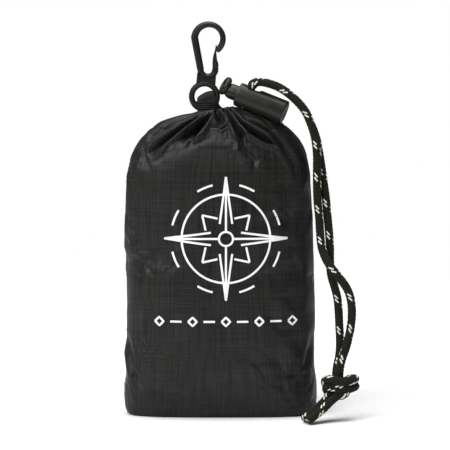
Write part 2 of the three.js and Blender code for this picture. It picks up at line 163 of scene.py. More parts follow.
def write_uv(made: bpy.types.Object, name: str, pairs: np.ndarray, period: float = 0.0, axis: int = 0) -> None:
    """Write a UV map from one value pair for each point.

    Args:
        made: The object whose mesh gets the map.
        name: The map's name.
        pairs: Pairs, one for each point.
        period: The length after which a value starts again, where a small face crosses that seam.
        axis: Which value of the pair starts again.
    """
    mesh = made.data
    corner = np.empty(len(mesh.loops), dtype=np.int32)
    mesh.loops.foreach_get("vertex_index", corner)
    uv = pairs[corner].astype(np.float64)
    if period:
        starts, totals = (np.empty(len(mesh.polygons), dtype=np.int32) for _ in range(2))
        mesh.polygons.foreach_get("loop_start", starts)
        mesh.polygons.foreach_get("loop_total", totals)
        owner = np.repeat(np.arange(len(starts)), totals)
        highest = np.maximum.reduceat(uv[:, axis], starts)
        uv[(highest[owner] - uv[:, axis] > period / 2) & (totals[owner] <= 4), axis] += period
    mesh.uv_layers.new(name=name).data.foreach_set("uv", uv.astype(np.float32).ravel())


def recalculated(made: bpy.types.Object) -> bpy.types.Object:
    """Merge doubles and turn all faces of a mesh outwards.

    Args:
        made: The object whose mesh it is.

    Returns:
        The same object.
    """
    bm = bmesh.new()
    bm.from_mesh(made.data)
    bmesh.ops.remove_doubles(bm, verts=bm.verts, dist=1e-6)
    bmesh.ops.recalc_face_normals(bm, faces=bm.faces)
    bm.to_mesh(made.data)
    bm.free()
    return made


def applied(made: bpy.types.Object) -> bpy.types.Object:
    """Replace an object's mesh by its evaluated one and remove its modifiers.

    Args:
        made: The object whose mesh it is.

    Returns:
        The same object.
    """
    graph = bpy.context.evaluated_depsgraph_get()
    graph.update()
    mesh = bpy.data.meshes.new_from_object(made.evaluated_get(graph))
    made.modifiers.clear()
    made.data = mesh
    return made


def joined(name: str, pieces: Sequence[bpy.types.Object]) -> bpy.types.Object:
    """Join meshes into one object that keeps the first one's materials.

    Args:
        name: The name of the whole.
        pieces: Objects, which are used up.

    Returns:
        The new object.
    """
    bm = bmesh.new()
    for piece in pieces:
        bm.from_mesh(piece.data)
    mesh = bpy.data.meshes.new(name)
    bm.to_mesh(mesh)
    bm.free()
    for material in pieces[0].data.materials:
        mesh.materials.append(material)
    for piece in pieces:
        bpy.data.objects.remove(piece)
    return linked(name, mesh)


def creased(made: bpy.types.Object) -> bpy.types.Object:
    """Shade a moulding smooth, but not over its sharp edges.

    Args:
        made: The object whose mesh it is.

    Returns:
        The same object.
    """
    made.data.polygons.foreach_set("use_smooth", [True] * len(made.data.polygons))
    made.data.set_sharp_from_angle(angle=CREASE_ANGLE)
    return made


def prism(name: str, ends: Sequence, material: bpy.types.Material | None = None,
          smooth: bool = True) -> bpy.types.Object:
    """Join two outlines with as many points each into a closed solid.

    Args:
        name: The mesh's name.
        ends: The points of both outlines, in order.
        material: Its material.
        smooth: Whether its faces are shaded smooth.

    Returns:
        The new object.
    """
    count = len(ends[0])
    faces = [tuple(range(count)), tuple(range(2 * count - 1, count - 1, -1))]
    faces += [(i, (i + 1) % count, (i + 1) % count + count, i + count) for i in range(count)]
    return recalculated(mesh_object(name, [*ends[0], *ends[1]], faces, material, smooth))


def skin(name: str, points: np.ndarray, rows: int, material: bpy.types.Material) -> bpy.types.Object:
    """Join rings into a closed skin that runs to one point at each end.

    Args:
        name: The piece's name.
        points: The rings' points, row by row, then the first and the last end point, in millimetres.
        rows: The number of rings.
        material: Its material.

    Returns:
        The new object.
    """
    count = (len(points) - 2) // rows
    last, foot, top = (rows - 1) * count, rows * count, rows * count + 1
    faces = grid_faces(rows, count)
    faces += [((i + 1) % count, i, foot) for i in range(count)]
    faces += [(last + i, last + (i + 1) % count, top) for i in range(count)]
    return mesh_object(name, points * MM, faces, material)


def arc(centre: tuple, radius: float, start: float, end: float, steps: int) -> list:
    """Return points of an arc in the plane, its angles in degrees.

    Args:
        centre: Its centre.
        radius: Its radius.
        start: Its first angle.
        end: Its last angle.
        steps: The number of steps between them.

    Returns:
        The points in order, both ends included.
    """
    return [
        (centre[0] + radius * math.cos(a), centre[1] + radius * math.sin(a))
        for a in (math.radians(start + (end - start) * s / steps) for s in range(steps + 1))
    ]


def catmull(points: Sequence, spacing: float) -> np.ndarray:
    """Return evenly spaced points of a smooth curve through given ones.

    Args:
        points: The chosen points, in metres.
        spacing: Distance between the points returned.

    Returns:
        An array of points.
    """
    given = np.array(points, dtype=float)
    padded = np.vstack([2 * given[0] - given[1], given, 2 * given[-1] - given[-2]])
    t = np.arange(24)[:, None] / 24
    dense = [
        0.5 * (2 * here + (there - before) * t + (2 * before - 5 * here + 4 * there - after) * t**2
               + (3 * here - before - 3 * there + after) * t**3)
        for before, here, there, after in zip(padded, padded[1:], padded[2:], padded[3:])
    ]
    line = np.vstack([*dense, given[-1]])
    along = np.concatenate([[0], np.cumsum(np.linalg.norm(np.diff(line, axis=0), axis=1))])
    count = max(int(round(along[-1] / spacing)), 2)
    even = np.linspace(0, along[-1], count + 1)
    return np.column_stack([np.interp(even, along, line[:, k]) for k in range(3)])


def turned_frames(line: np.ndarray) -> tuple:
    """Return two cross directions at each point of a line that never twist suddenly.

    Args:
        line: The line's points.

    Returns:
        Both directions at each point, square to the line.
    """
    tangent = np.gradient(line, axis=0)
    tangent /= np.linalg.norm(tangent, axis=1)[:, None]
    side = np.array([0.0, -1.0, 0.0])
    first = []
    for t in tangent:
        side = side - t * float(side @ t)
        side = side / np.linalg.norm(side)
        first.append(side)
    first = np.array(first)
    return first, np.cross(tangent, first)


# Materials

Value = bpy.types.NodeSocket | float | tuple


class Graph:
    """Adds the nodes of one node tree and joins them."""

    def __init__(self, tree: bpy.types.NodeTree) -> None:
        """Keep the tree that the nodes go into."""
        self.tree = tree

    def add(self, kind: str, inputs: dict | None = None, **settings) -> bpy.types.Node:
        """Add a node.

        Args:
            kind: The node's type.
            inputs: A value or a socket for each input, by name or number.
            settings: Properties of the node itself.

        Returns:
            The node.
        """
        node = configured(self.tree.nodes.new(kind), **settings)
        for key, value in (inputs or {}).items():
            if isinstance(value, bpy.types.NodeSocket):
                self.tree.links.new(value, node.inputs[key])
            else:
                node.inputs[key].default_value = value
        return node

    def math(self, operation: str, *values) -> bpy.types.NodeSocket:
        """Add a Math node and return its result."""
        node = self.add("ShaderNodeMath", dict(enumerate(values)), operation=operation)
        return node.outputs[0]

    def total(self, *terms: tuple) -> bpy.types.NodeSocket:
        """Add up values, each times its weight.

        Args:
            terms: A value and its weight each.

        Returns:
            The sum.
        """
        scaled = [value if weight == 1 else self.math("MULTIPLY", value, weight) for value, weight in terms]
        added = scaled[0]
        for value in scaled[1:]:
            added = self.math("ADD", added, value)
        return added

    def ramp(self, value: Value, low: float, high: float, to_low: float = 0.0,
             to_high: float = 1.0) -> bpy.types.NodeSocket:
        """Map a value smoothly from one range to another.

        Args:
            value: What is mapped.
            low: Where the first range starts.
            high: Where it ends.
            to_low: What low becomes.
            to_high: What high becomes.

        Returns:
            The mapped value.
        """
        node = self.add(
            "ShaderNodeMapRange",
            {"Value": value, "From Min": low, "From Max": high, "To Min": to_low, "To Max": to_high},
            interpolation_type="SMOOTHSTEP",
        )
        return node.outputs["Result"]

    def mix(self, share: Value, first: Value, second: Value) -> bpy.types.NodeSocket:
        """Mix two colours."""
        node = self.add("ShaderNodeMix", {0: share, 6: first, 7: second}, data_type="RGBA")
        return node.outputs[2]

    def noise(self, place: Value, scale: float, detail: float = 3.0, rough: float = 0.5) -> bpy.types.NodeSocket:
        """Add a noise texture and return its value.

        Args:
            place: Where it is read.
            scale: Its scale.
            detail: Its octaves.
            rough: How strong the fine ones are.

        Returns:
            The noise, from 0 to 1.
        """
        node = self.add(
            "ShaderNodeTexNoise", {"Vector": place, "Scale": scale, "Detail": detail, "Roughness": rough}
        )
        return node.outputs["Fac"]

    def stretched(self, place: Value, scale: tuple) -> bpy.types.NodeSocket:
        """Scale a place before a texture reads it."""
        node = self.add("ShaderNodeMapping", {"Vector": place, "Scale": scale})
        return node.outputs["Vector"]


@dataclass(frozen=True)
class Finish:
    """A finish with one base look, which the kinds below refine."""

    name: str
    colour: tuple
    roughness: float
    specular: float = 0.4

    def material(self) -> bpy.types.Material:
        """Make the finish's material the first time that it is asked for.

        Returns:
            The material.
        """
        if self.name in bpy.data.materials:
            return bpy.data.materials[self.name]
        made = bpy.data.materials.new(self.name)
        made.use_nodes = True
        graph = Graph(made.node_tree)
        shader = made.node_tree.nodes["Principled BSDF"]
        shader.inputs["Base Color"].default_value = (*self.colour, 1)
        shader.inputs["Roughness"].default_value = self.roughness
        shader.inputs["Specular IOR Level"].default_value = self.specular
        self.refine(graph, shader)
        return made

    def refine(self, graph: Graph, shader: bpy.types.Node) -> None:
        """Add what this kind of finish has beyond its base look."""
        grain = graph.noise(graph.add("ShaderNodeTexCoord").outputs["Object"], 900, 4)
        self.join(graph, shader, self.shades(graph, grain, (0.3, 0.7), (0.8, 1.2)), grain, 0.04 * MM)

    def tone(self, share: float) -> tuple:
        """Return the colour times a share."""
        return (*(min(c * share, 1) for c in self.colour), 1)

    def shades(self, graph: Graph, value: Value, limits: tuple, tones: tuple) -> bpy.types.NodeSocket:
        """Return a colour that goes from one tone to another as a value goes between its limits."""
        return graph.mix(graph.ramp(value, *limits), *(self.tone(share) for share in tones))

    def join(self, graph: Graph, shader: bpy.types.Node, shade: Value, height: Value, depth: float) -> None:
        """Join a colour and a height, times its depth, to the shader.

        Args:
            graph: The material's nodes.
            shader: Its shader.
            shade: The colour.
            height: The height, about 0 to 1.
            depth: What a height of 1 stands for, in metres.
        """
        node = graph.add("ShaderNodeBump", {"Height": height, "Distance": depth, "Strength": 1.0})
        graph.tree.links.new(shade, shader.inputs["Base Color"])
        graph.tree.links.new(node.outputs["Normal"], shader.inputs["Normal"])


@dataclass(frozen=True)
class Ripstop(Finish):
    """Coated ripstop nylon: a plain weave with a grid of thicker threads, read from the cloth's own UV map."""

    grid: float = 5 * MM
    grid_thread: float = 0.35 * MM
    weave: float = 0.42 * MM

    def refine(self, graph: Graph, shader: bpy.types.Node) -> None:
        """Add the grid, the weave, thread streaks, crinkles and a soft sheen.

        Args:
            graph: The material's nodes.
            shader: Its shader.
        """
        cloth = graph.add("ShaderNodeUVMap", uv_map="cloth").outputs["UV"]
        parts = graph.add("ShaderNodeSeparateXYZ", {0: cloth}).outputs
        raised = graph.math("MAXIMUM", *(self.thread_line(graph, parts[k]) for k in (0, 1)))
        turns = [graph.math("MULTIPLY", parts[k], 2 * math.pi / self.weave) for k in (0, 1)]
        woven = graph.math("MULTIPLY", *(graph.math("SINE", turn) for turn in turns))
        down, across = (graph.noise(graph.stretched(cloth, run), 1, 2) for run in ((900, 30, 1), (30, 900, 1)))
        streaks = graph.total((down, 1), (across, 0.6))
        shade = self.shades(graph, streaks, (0.55, 1.05), (0.4, 1.8))
        shade = graph.mix(graph.math("MULTIPLY", raised, 0.12), shade, self.tone(1.9))
        crinkle = graph.noise(cloth, 160, 5, 0.62)
        height = graph.total((crinkle, 1.5), (raised, 0.08), (woven, 0.02), (streaks, 0.45))
        self.join(graph, shader, shade, height, 0.11 * MM)
        worn = graph.ramp(graph.noise(cloth, 55, 3), 0.3, 0.75, self.roughness - 0.06, self.roughness + 0.08)
        graph.tree.links.new(worn, shader.inputs["Roughness"])
        shader.inputs["Sheen Weight"].default_value = 0.015
        shader.inputs["Sheen Roughness"].default_value = 0.4

    def thread_line(self, graph: Graph, coordinate: Value) -> bpy.types.NodeSocket:
        """Return 1 on a grid thread and 0 between them.

        Args:
            graph: The material's nodes.
            coordinate: The place across the threads, in metres.

        Returns:
            A socket with that value.
        """
        share = graph.math("FRACT", graph.math("DIVIDE", coordinate, self.grid))
        away = graph.math("ABSOLUTE", graph.math("SUBTRACT", share, 0.5))
        half = self.grid_thread / self.grid
        return graph.ramp(away, half * 0.5, half * 1.1, 1.0, 0.0)


@dataclass(frozen=True)
class MouldedPlastic(Finish):
    """Satin moulded plastic with a fine spark-eroded grain and rubbed places."""

    def refine(self, graph: Graph, shader: bpy.types.Node) -> None:
        """Add the mould's grain, faint flow marks and rubbed places.

        Args:
            graph: The material's nodes.
            shader: Its shader.
        """
        place = graph.add("ShaderNodeTexCoord").outputs["Object"]
        grain, flow = graph.noise(place, 2600, 2), graph.noise(place, 120, 3)
        rubbed = graph.ramp(graph.add("ShaderNodeNewGeometry").outputs["Pointiness"], 0.5, 0.56)
        shade = self.shades(graph, flow, (0.3, 0.7), (0.85, 1.15))
        shade = graph.mix(graph.math("MULTIPLY", rubbed, 0.5), shade, self.tone(1.7))
        self.join(graph, shader, shade, graph.total((grain, 1), (flow, 0.6)), 0.05 * MM)
        gloss = graph.ramp(flow, 0.3, 0.7, self.roughness - 0.05, self.roughness + 0.07)
        graph.tree.links.new(gloss, shader.inputs["Roughness"])


@dataclass(frozen=True)
class Braid(Finish):
    """A round braid, two yarns over and two under, with a pair of light tracer yarns.

    It is read from the cord's own UV map: u along the cord in metres, v round it as a share of a turn.
    """

    carriers: int = 8
    pitch: float = 19.5 * MM
    tracer: tuple = (0.66, 0.64, 0.56)
    tracer_reach: float = 0.31

    def refine(self, graph: Graph, shader: bpy.types.Node) -> None:
        """Add the yarns of both directions, the tracers, the fibres and painted shade in the valleys between the
        yarns.

        Args:
            graph: The material's nodes.
            shader: Its shader.
        """
        cloth = graph.add("ShaderNodeUVMap", uv_map="braid").outputs["UV"]
        parts = graph.add("ShaderNodeSeparateXYZ", {0: cloth}).outputs
        along = graph.math("MULTIPLY", parts[0], self.carriers / self.pitch)
        around = graph.math("MULTIPLY", parts[1], float(self.carriers))
        left, right = (graph.math(way, around, along) for way in ("ADD", "SUBTRACT"))
        row, crossing = (graph.math("FLOOR", side) for side in (left, right))
        turn = graph.math("FLOORED_MODULO", graph.math("ADD", row, crossing), 4.0)
        over = graph.math("LESS_THAN", turn, 1.5)
        number = graph.math("FLOORED_MODULO", row, float(self.carriers))
        chosen = graph.math("MULTIPLY", over, graph.math("LESS_THAN", number, 1.5))
        shares = [graph.math("SUBTRACT", graph.math("FRACT", side), 0.5) for side in (right, left)]
        across = graph.mix(over, *(self.grey(graph, graph.math("ABSOLUTE", share)) for share in shares))
        valley = graph.ramp(across, 0.26, 0.5)
        chosen = graph.math("MULTIPLY", chosen, graph.math("LESS_THAN", across, self.tracer_reach))
        fibre = graph.noise(graph.stretched(cloth, (3200, 260, 1)), 1, 3)
        shade = graph.mix(chosen, self.shades(graph, fibre, (0.42, 0.66), (0.6, 4.6)), (*self.tracer, 1))
        # Painted shade: the valleys between the yarns are darkened towards a fifth of the colour.
        shade = graph.mix(graph.math("MULTIPLY", valley, 0.85), shade, self.tone(0.2))
        height = graph.total((graph.math("SUBTRACT", 1.0, valley), 1), (fibre, 0.4))
        self.join(graph, shader, shade, height, 0.16 * MM)
        shader.inputs["Sheen Weight"].default_value = 0.05

    def grey(self, graph: Graph, value: Value) -> bpy.types.NodeSocket:
        """Return a value as a grey that the Mix node takes."""
        return graph.add("ShaderNodeCombineXYZ", {0: value, 1: value, 2: value}).outputs[0]

    def relief(self, u: np.ndarray, v: np.ndarray) -> np.ndarray:
        """Return how high the top yarn stands, from 0 in a valley to 1, at places of the UV map.

        Args:
            u: Places along the cord, in metres.
            v: Places round it, in turns.

        Returns:
            The height at each place.
        """
        run = u * self.carriers / self.pitch
        left, right = v * self.carriers + run, v * self.carriers - run
        turn = (np.floor(left) + np.floor(right)) % 4
        over = turn < 2
        across = np.where(over, left, right) % 1 * 2 - 1
        place = np.where(over, (right + np.floor(left)) % 4, (left + np.floor(right)) % 4 - 2) / 2
        return (1 - np.abs(across) ** 3) * (0.55 + 0.45 * np.sin(np.pi * np.clip(place, 0, 1)))


@dataclass(frozen=True)
class Grosgrain(Finish):
    """Ribbed webbing yarn."""

    def refine(self, graph: Graph, shader: bpy.types.Node) -> None:
        """Add the yarns' twist and fuzz.

        Args:
            graph: The material's nodes.
            shader: Its shader.
        """
        place = graph.add("ShaderNodeTexCoord").outputs["Object"]
        twist = graph.noise(graph.stretched(place, (2400, 900, 900)), 1, 3)
        self.join(graph, shader, self.shades(graph, twist, (0.35, 0.65), (0.6, 1.6)), twist, 0.12 * MM)
        shader.inputs["Sheen Weight"].default_value = 0.05


@dataclass(frozen=True)
class Ink(Finish):
    """Screen-printed ink that shows the weave under it and a few pinholes."""

    def refine(self, graph: Graph, shader: bpy.types.Node) -> None:
        """Add the weave's unevenness."""
        speck = graph.noise(graph.add("ShaderNodeTexCoord").outputs["Object"], 2200, 3)
        self.join(graph, shader, self.shades(graph, speck, (0.28, 0.42), (0.72, 1)), speck, 0.03 * MM)


class Finishes:
    """The finishes of this object."""

    NYLON = Ripstop("ripstop_nylon", (0.0088, 0.0088, 0.0082), 0.47, 0.22)
    BUNDLE = Ripstop("folded_nylon", (0.008, 0.008, 0.0077), 0.6, 0.2)
    PLASTIC = MouldedPlastic("moulded_plastic", (0.0115, 0.012, 0.0096), 0.36, 0.26)
    CORD = Braid("tracer_braid", (0.007, 0.0068, 0.0048), 0.8, 0.1)
    WEBBING = Grosgrain("grosgrain", (0.0062, 0.0062, 0.0052), 0.65, 0.22)
    THREAD = Finish("sewing_thread", (0.012, 0.012, 0.0115), 0.7, 0.25)
    INK = Ink("print_ink", (0.86, 0.86, 0.85), 0.7, 0.3)
    FLOOR = Finish("studio_floor", (0.93, 0.93, 0.93), 0.9, 0.1)


# Repeats by Geometry Nodes


def repeat_tree(item: Repeat) -> bpy.types.NodeTree:
    """Build the tree that places an item along a path.

    Args:
        item: What it places.

    Returns:
        The tree, with Spacing, Thickness, Length and Material as its inputs.
    """
    name = f"repeat_{item.value}"
    if name in bpy.data.node_groups:
        return bpy.data.node_groups[name]
    tree = bpy.data.node_groups.new(name, "GeometryNodeTree")
    face = tree.interface
    face.new_socket("Path", in_out="INPUT", socket_type="NodeSocketGeometry")
    for label in ("Spacing", "Thickness", "Length"):
        face.new_socket(label, in_out="INPUT", socket_type="NodeSocketFloat")
    face.new_socket("Material", in_out="INPUT", socket_type="NodeSocketMaterial")
    face.new_socket("Geometry", in_out="OUTPUT", socket_type="NodeSocketGeometry")
    graph = Graph(tree)
    given = graph.add("NodeGroupInput").outputs
    curve = graph.add("GeometryNodeMeshToCurve", {"Mesh": given["Path"]}).outputs[0]
    even = graph.add("GeometryNodeResampleCurve", {"Curve": curve, "Length": given["Spacing"]}, mode="LENGTH")
    match item:
        case Repeat.STITCH:
            shape = graph.add("GeometryNodeMeshUVSphere", {"Segments": 8, "Rings": 6, "Radius": 1.0}).outputs[0]
        case Repeat.ROD:
            shape = graph.add("GeometryNodeMeshCylinder", {"Vertices": 8, "Radius": 1.0, "Depth": 2.0}).outputs[0]
    aim = graph.add("GeometryNodeInputNamedAttribute", {"Name": "aim"}, data_type="FLOAT_VECTOR").outputs[0]
    reach = graph.add("GeometryNodeInputNamedAttribute", {"Name": "reach"}, data_type="FLOAT").outputs[0]
    turn = graph.add("FunctionNodeAlignRotationToVector", {"Vector": aim}, axis="Z").outputs[0]
    half = graph.math("MULTIPLY", graph.math("MULTIPLY", given["Length"], 0.5), reach)
    thick = graph.math("MULTIPLY", given["Thickness"], 0.5)
    size = graph.add("ShaderNodeCombineXYZ", {0: thick, 1: thick, 2: half}).outputs[0]
    placed = graph.add(
        "GeometryNodeInstanceOnPoints",
        {"Points": even.outputs[0], "Instance": shape, "Rotation": turn, "Scale": size},
    )
    real = graph.add("GeometryNodeRealizeInstances", {0: placed.outputs[0]})
    smooth = graph.add("GeometryNodeSetShadeSmooth", {0: real.outputs[0]})
    dressed = graph.add("GeometryNodeSetMaterial", {"Geometry": smooth.outputs[0], "Material": given["Material"]})
    graph.add("NodeGroupOutput", {0: dressed.outputs[0]})
    return tree


@dataclass
class Row:
    """A row of one small item along a path."""

    name: str
    item: Repeat
    spacing: float
    thickness: float
    length: float
    finish: Finish

    def along(self, line: np.ndarray, aims: np.ndarray, reach: np.ndarray | None = None) -> bpy.types.Object:
        """Place the items along a line.

        Args:
            line: The path's points.
            aims: The direction of the item's length at each point.
            reach: The share of the length that it has at each point.

        Returns:
            The row as a plain mesh.
        """
        mesh = bpy.data.meshes.new(self.name)
        mesh.from_pydata([tuple(p) for p in line], [(i, i + 1) for i in range(len(line) - 1)], [])
        mesh.attributes.new("aim", "FLOAT_VECTOR", "POINT").data.foreach_set("vector", np.ravel(aims))
        share = np.ones(len(line)) if reach is None else reach
        mesh.attributes.new("reach", "FLOAT", "POINT").data.foreach_set("value", np.ravel(share))
        made = linked(self.name, mesh)
        modifier = made.modifiers.new("repeat", "NODES")
        modifier.node_group = repeat_tree(self.item)
        values = {"Spacing": self.spacing, "Thickness": self.thickness, "Length": self.length,
                  "Material": self.finish.material()}
        for item in modifier.node_group.interface.items_tree:
            if item.in_out == "INPUT" and item.name in values:
                modifier[item.identifier] = values[item.name]
        made.update_tag()
        applied(made)
        made.data.name = self.name
        return made


# Camera and studio


@dataclass
class Studio:
    """Camera, lamps, sky and floor."""

    target: tuple = (2.745 * MM, 0.0, 116 * MM)
    distance: float = 1300 * MM
    elevation: float = 5.0
    frame_width: float = 274.5 * MM
    floor_radius: float = 0.75
    sky: float = 0.17

    def camera(self) -> None:
        """Make the camera at the photograph's viewing angle."""
        angle = 2 * math.atan(self.frame_width / 2 / self.distance)
        data = configured(bpy.data.cameras.new("camera"), sensor_fit="AUTO", angle=angle, clip_start=0.01)
        raised = math.radians(self.elevation)
        away = self.distance * Vector((0, -math.cos(raised), math.sin(raised)))
        bpy.context.scene.camera = self.aimed(data, Vector(self.target) + away, self.target)

    def aimed(self, data: bpy.types.ID, place: Sequence, aim: tuple) -> bpy.types.Object:
        """Put a camera or a lamp at a place and turn it to a point.

        Args:
            data: The camera or lamp.
            place: Where it stands.
            aim: What it looks at.

        Returns:
            Its object.
        """
        made = linked(data.name, data)
        made.location = place
        made.rotation_euler = (Vector(aim) - made.location).to_track_quat("-Z", "Y").to_euler()
        return made

    def lamp(self, name: str, place: tuple, aim: tuple, size: float, power: float) -> None:
        """Add a soft square lamp that looks at a point."""
        self.aimed(configured(bpy.data.lights.new(name, "AREA"), size=size, energy=power), place, aim)

    def light(self) -> None:
        """Add the lamps, the white sky and the floor."""
        self.lamp("key_lamp", (-0.95, -0.85, 1.25), (0, 0, 0.12), 1.3, 31.0)
        self.lamp("top_lamp", (0.05, 0.05, 2.4), (0, 0, 0.1), 1.7, 56.0)
        world = bpy.data.worlds.new("white_sky")
        world.use_nodes = True
        graph = Graph(world.node_tree)
        background = world.node_tree.nodes["Background"]
        seen = graph.add("ShaderNodeLightPath").outputs["Is Camera Ray"]
        strength = graph.ramp(seen, 0, 1, self.sky, 1.0)
        graph.tree.links.new(strength, background.inputs["Strength"])
        background.inputs["Color"].default_value = (1, 1, 1, 1)
        bpy.context.scene.world = world
        bpy.context.scene.view_settings.view_transform = "Standard"
        rim = [(self.floor_radius * x, self.floor_radius * y, 0.0) for x, y in arc((0, 0), 1, 0, 358, 96)]
        floor = mesh_object("studio_floor", rim, [tuple(range(len(rim)))], Finishes.FLOOR.material(), False)


# Drawcord


@dataclass
class Drawcord:
    """Both strands of the drawcord, through the cord lock, down to their knot and its cut tails."""

    diameter: float = 4.8 * MM
    fuzz: float = 0.25 * MM
    squeezed: float = 3.6 * MM
    sides: int = 40
    ring_spacing: float = 0.5 * MM
    relief: float = 0.3 * MM
    tracer_turn: float = 1.5 / 16
    hole_reach: float = 6.5 * MM
    barrel_radius: float = 7.3 * MM
    length: float = 313 * MM
    front_tracer_height: float = 107.3 * MM
    back_tracer_height: float = 130.0 * MM
    knot_place: tuple = (72.3, -25.0, 20.6)
    front_route: tuple = (
        (18.8, -7.9, 201.0), (19.5, -8.1, 202.2), (22.4, -8.6, 203.2), (26.6, -9.2, 202.9), (33.4, -10.0, 200.9),
        (38.8, -10.5, 197.9), (43.4, -11.0, 194.3), (47.9, -11.2, 189.8), (51.5, -11.5, 185.0), (53.6, -11.8, 180.2),
        (55.7, -12.0, 174.5), (57.3, -12.0, 167.8), (58.2, -12.0, 159.4), (58.2, -12.0, 150.3), (58.3, -11.7, 141.2),
        (58.6, -11.5, 132.1), (59.6, -11.5, 122.4), (60.2, -12.0, 112.8), (61.0, -14.0, 104.5), (63.1, -16.0, 98.0),
        (66.0, -18.0, 92.8), (70.8, -19.0, 86.8), (75.7, -18.5, 80.1), (78.4, -18.5, 73.4), (79.3, -19.0, 65.6),
        (78.7, -20.0, 57.2), (77.2, -21.0, 49.4), (75.4, -22.0, 42.9), (73.2, -23.0, 37.0), (72.0, -24.4, 31.7),
    )
    back_route: tuple = (
        (19.9, -2.8, 201.0), (20.6, -3.0, 202.2), (23.3, -3.3, 203.1), (27.0, -3.7, 202.8), (33.6, -4.4, 200.7),
        (39.0, -5.0, 197.7), (43.5, -5.4, 194.1), (48.1, -5.8, 189.6), (51.7, -6.0, 184.8), (53.8, -6.2, 180.0),
        (56.3, -6.5, 174.2), (58.4, -6.7, 167.6), (60.0, -6.8, 159.1), (61.4, -7.2, 150.1), (62.7, -7.8, 141.0),
        (63.9, -8.6, 132.0), (64.8, -9.2, 122.3), (65.7, -9.8, 112.6), (66.3, -10.2, 104.2), (66.3, -10.6, 97.5),
        (66.5, -11.1, 92.1), (67.2, -12.0, 86.0), (69.1, -12.5, 79.4), (70.8, -12.8, 72.8), (71.6, -13.0, 64.9),
        (72.0, -13.7, 56.4), (72.4, -14.6, 48.6), (72.3, -15.6, 42.0), (71.5, -17.0, 36.1), (70.3, -18.6, 30.8),
    )
    # The knot, listed from its own centre: where the pair runs, and which way its front strand lies.
    knot: tuple = (
        ((-1.6, 2.6, 5.6), (0.35, -0.93, 0.0)),
        ((-1.0, 3.0, 1.0), (0.75, -0.62, 0.1)),
        ((1.8, -1.2, -2.6), (0.75, -0.55, 0.3)),
        ((0.6, -2.0, -5.0), (0.1, -0.97, 0.1)),
        ((-4.2, 1.0, -4.0), (0.2, -0.9, -0.3)),
        ((-8.6, 1.6, -0.6), (0.15, -0.6, -0.75)),
        ((-7.8, -3.0, 2.6), (0.1, 0.1, -0.98)),
        ((-0.6, -5.0, 1.6), (0.0, 0.15, -0.98)),
        ((5.6, -4.0, 1.6), (0.05, 0.2, -0.97)),
        ((8.9, 0.6, 2.4), (0.05, 0.2, -0.97)),
        ((5.0, 4.6, 1.2), (0.1, 0.2, -0.95)),
        ((0.4, 3.0, -2.6), (0.4, -0.1, -0.85)),
        ((-3.0, -1.6, -3.6), (0.62, -0.55, -0.5)),
    )
    front_tail: tuple = ((66.0, -32.0, 12.6), (60.8, -35.4, 8.2), (52.0, -41.4, 2.4))
    back_tail: tuple = ((63.2, -27.5, 12.8), (58.2, -30.9, 8.4), (49.6, -36.8, 2.5))

    def feed(self, side: float) -> list:
        """Return the strand's way up through the lock's cord hole, to one side of its middle.

        Args:
            side: 1 for the front strand, -1 for the other.

        Returns:
            Points in millimetres.
        """
        mouth, along, across, up = lock_frame()
        middle = mouth + along * self.hole_reach + across * side * self.squeezed / 2
        return [list((middle + up * (share * self.barrel_radius)) / MM) for share in (-0.86, -0.45, 0.0, 0.5, 0.95)]

    def centreline(self, front: bool) -> np.ndarray:
        """Return one strand's whole centreline, from below the lock to its cut tail.

        Args:
            front: Whether it is the strand in front.

        Returns:
            Evenly spaced points, in metres.
        """
        sign = 1.0 if front else -1.0
        half = self.diameter / 2 / MM
        tied = [
            list(np.array(self.knot_place) + np.array(place) + sign * half * np.array(way) / np.linalg.norm(way))
            for place, way in self.knot
        ]
        route = self.front_route if front else self.back_route
        tail = self.front_tail if front else self.back_tail
        points = [*self.feed(sign), *route, *tied, *tail]
        return catmull([[v * MM for v in p] for p in points], self.ring_spacing)

    def strand(self, name: str, front: bool) -> bpy.types.Object:
        """Build one strand as a braided tube with cut ends.

        Args:
            name: The piece's name.
            front: Whether it is the strand in front.

        Returns:
            The strand.
        """
        line = self.centreline(front)
        first, second = turned_frames(line)
        along = np.arange(len(line)) * self.ring_spacing
        height = self.front_tracer_height if front else self.back_tracer_height
        start = along[np.argmin(np.abs(line[:, 2] - height))]
        angles = np.arange(self.sides) / self.sides
        yarns = Finishes.CORD
        u, v = np.meshgrid(along - start + yarns.pitch / 32, angles, indexing="ij")
        through = eased(share_of(along, 8 * MM, 17 * MM))
        full = self.diameter + self.fuzz
        half = (self.squeezed + (full - self.squeezed) * through) / 2
        radius = half[:, None] + self.relief * (yarns.relief(u, v + self.tracer_turn) - 0.7)
        round_end = np.minimum(along, along[-1] - along) / (0.5 * MM)
        radius = radius * (0.8 + 0.2 * np.clip(round_end, 0, 1))[:, None]
        turn = 2 * np.pi * v
        points = line[:, None, :] + radius[..., None] * (
            np.cos(turn)[..., None] * first[:, None, :] + np.sin(turn)[..., None] * second[:, None, :]
        )
        faces = grid_faces(len(line), self.sides, caps=True)
        made = mesh_object(name, points.reshape(-1, 3), faces, Finishes.CORD.material())
        write_uv(made, "braid", np.column_stack([u.ravel(), v.ravel() + self.tracer_turn]), 1.0, 1)
        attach(made, PACK)
        log.info("%s is %.0f mm long", name, along[-1] / MM)
        return made

    def build(self) -> list:
        """Build both strands.

        Returns:
            The strands.
        """
        front = self.strand("braided_strand_front", True)
        back = self.strand("braided_strand_back", False)
        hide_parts("drawcord_front", "cord_tail_front", "cord_knot", "drawcord_feed")
        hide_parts("drawcord_back", "cord_tail_back", "cord_knot", "drawcord_feed")
        return [front, back]


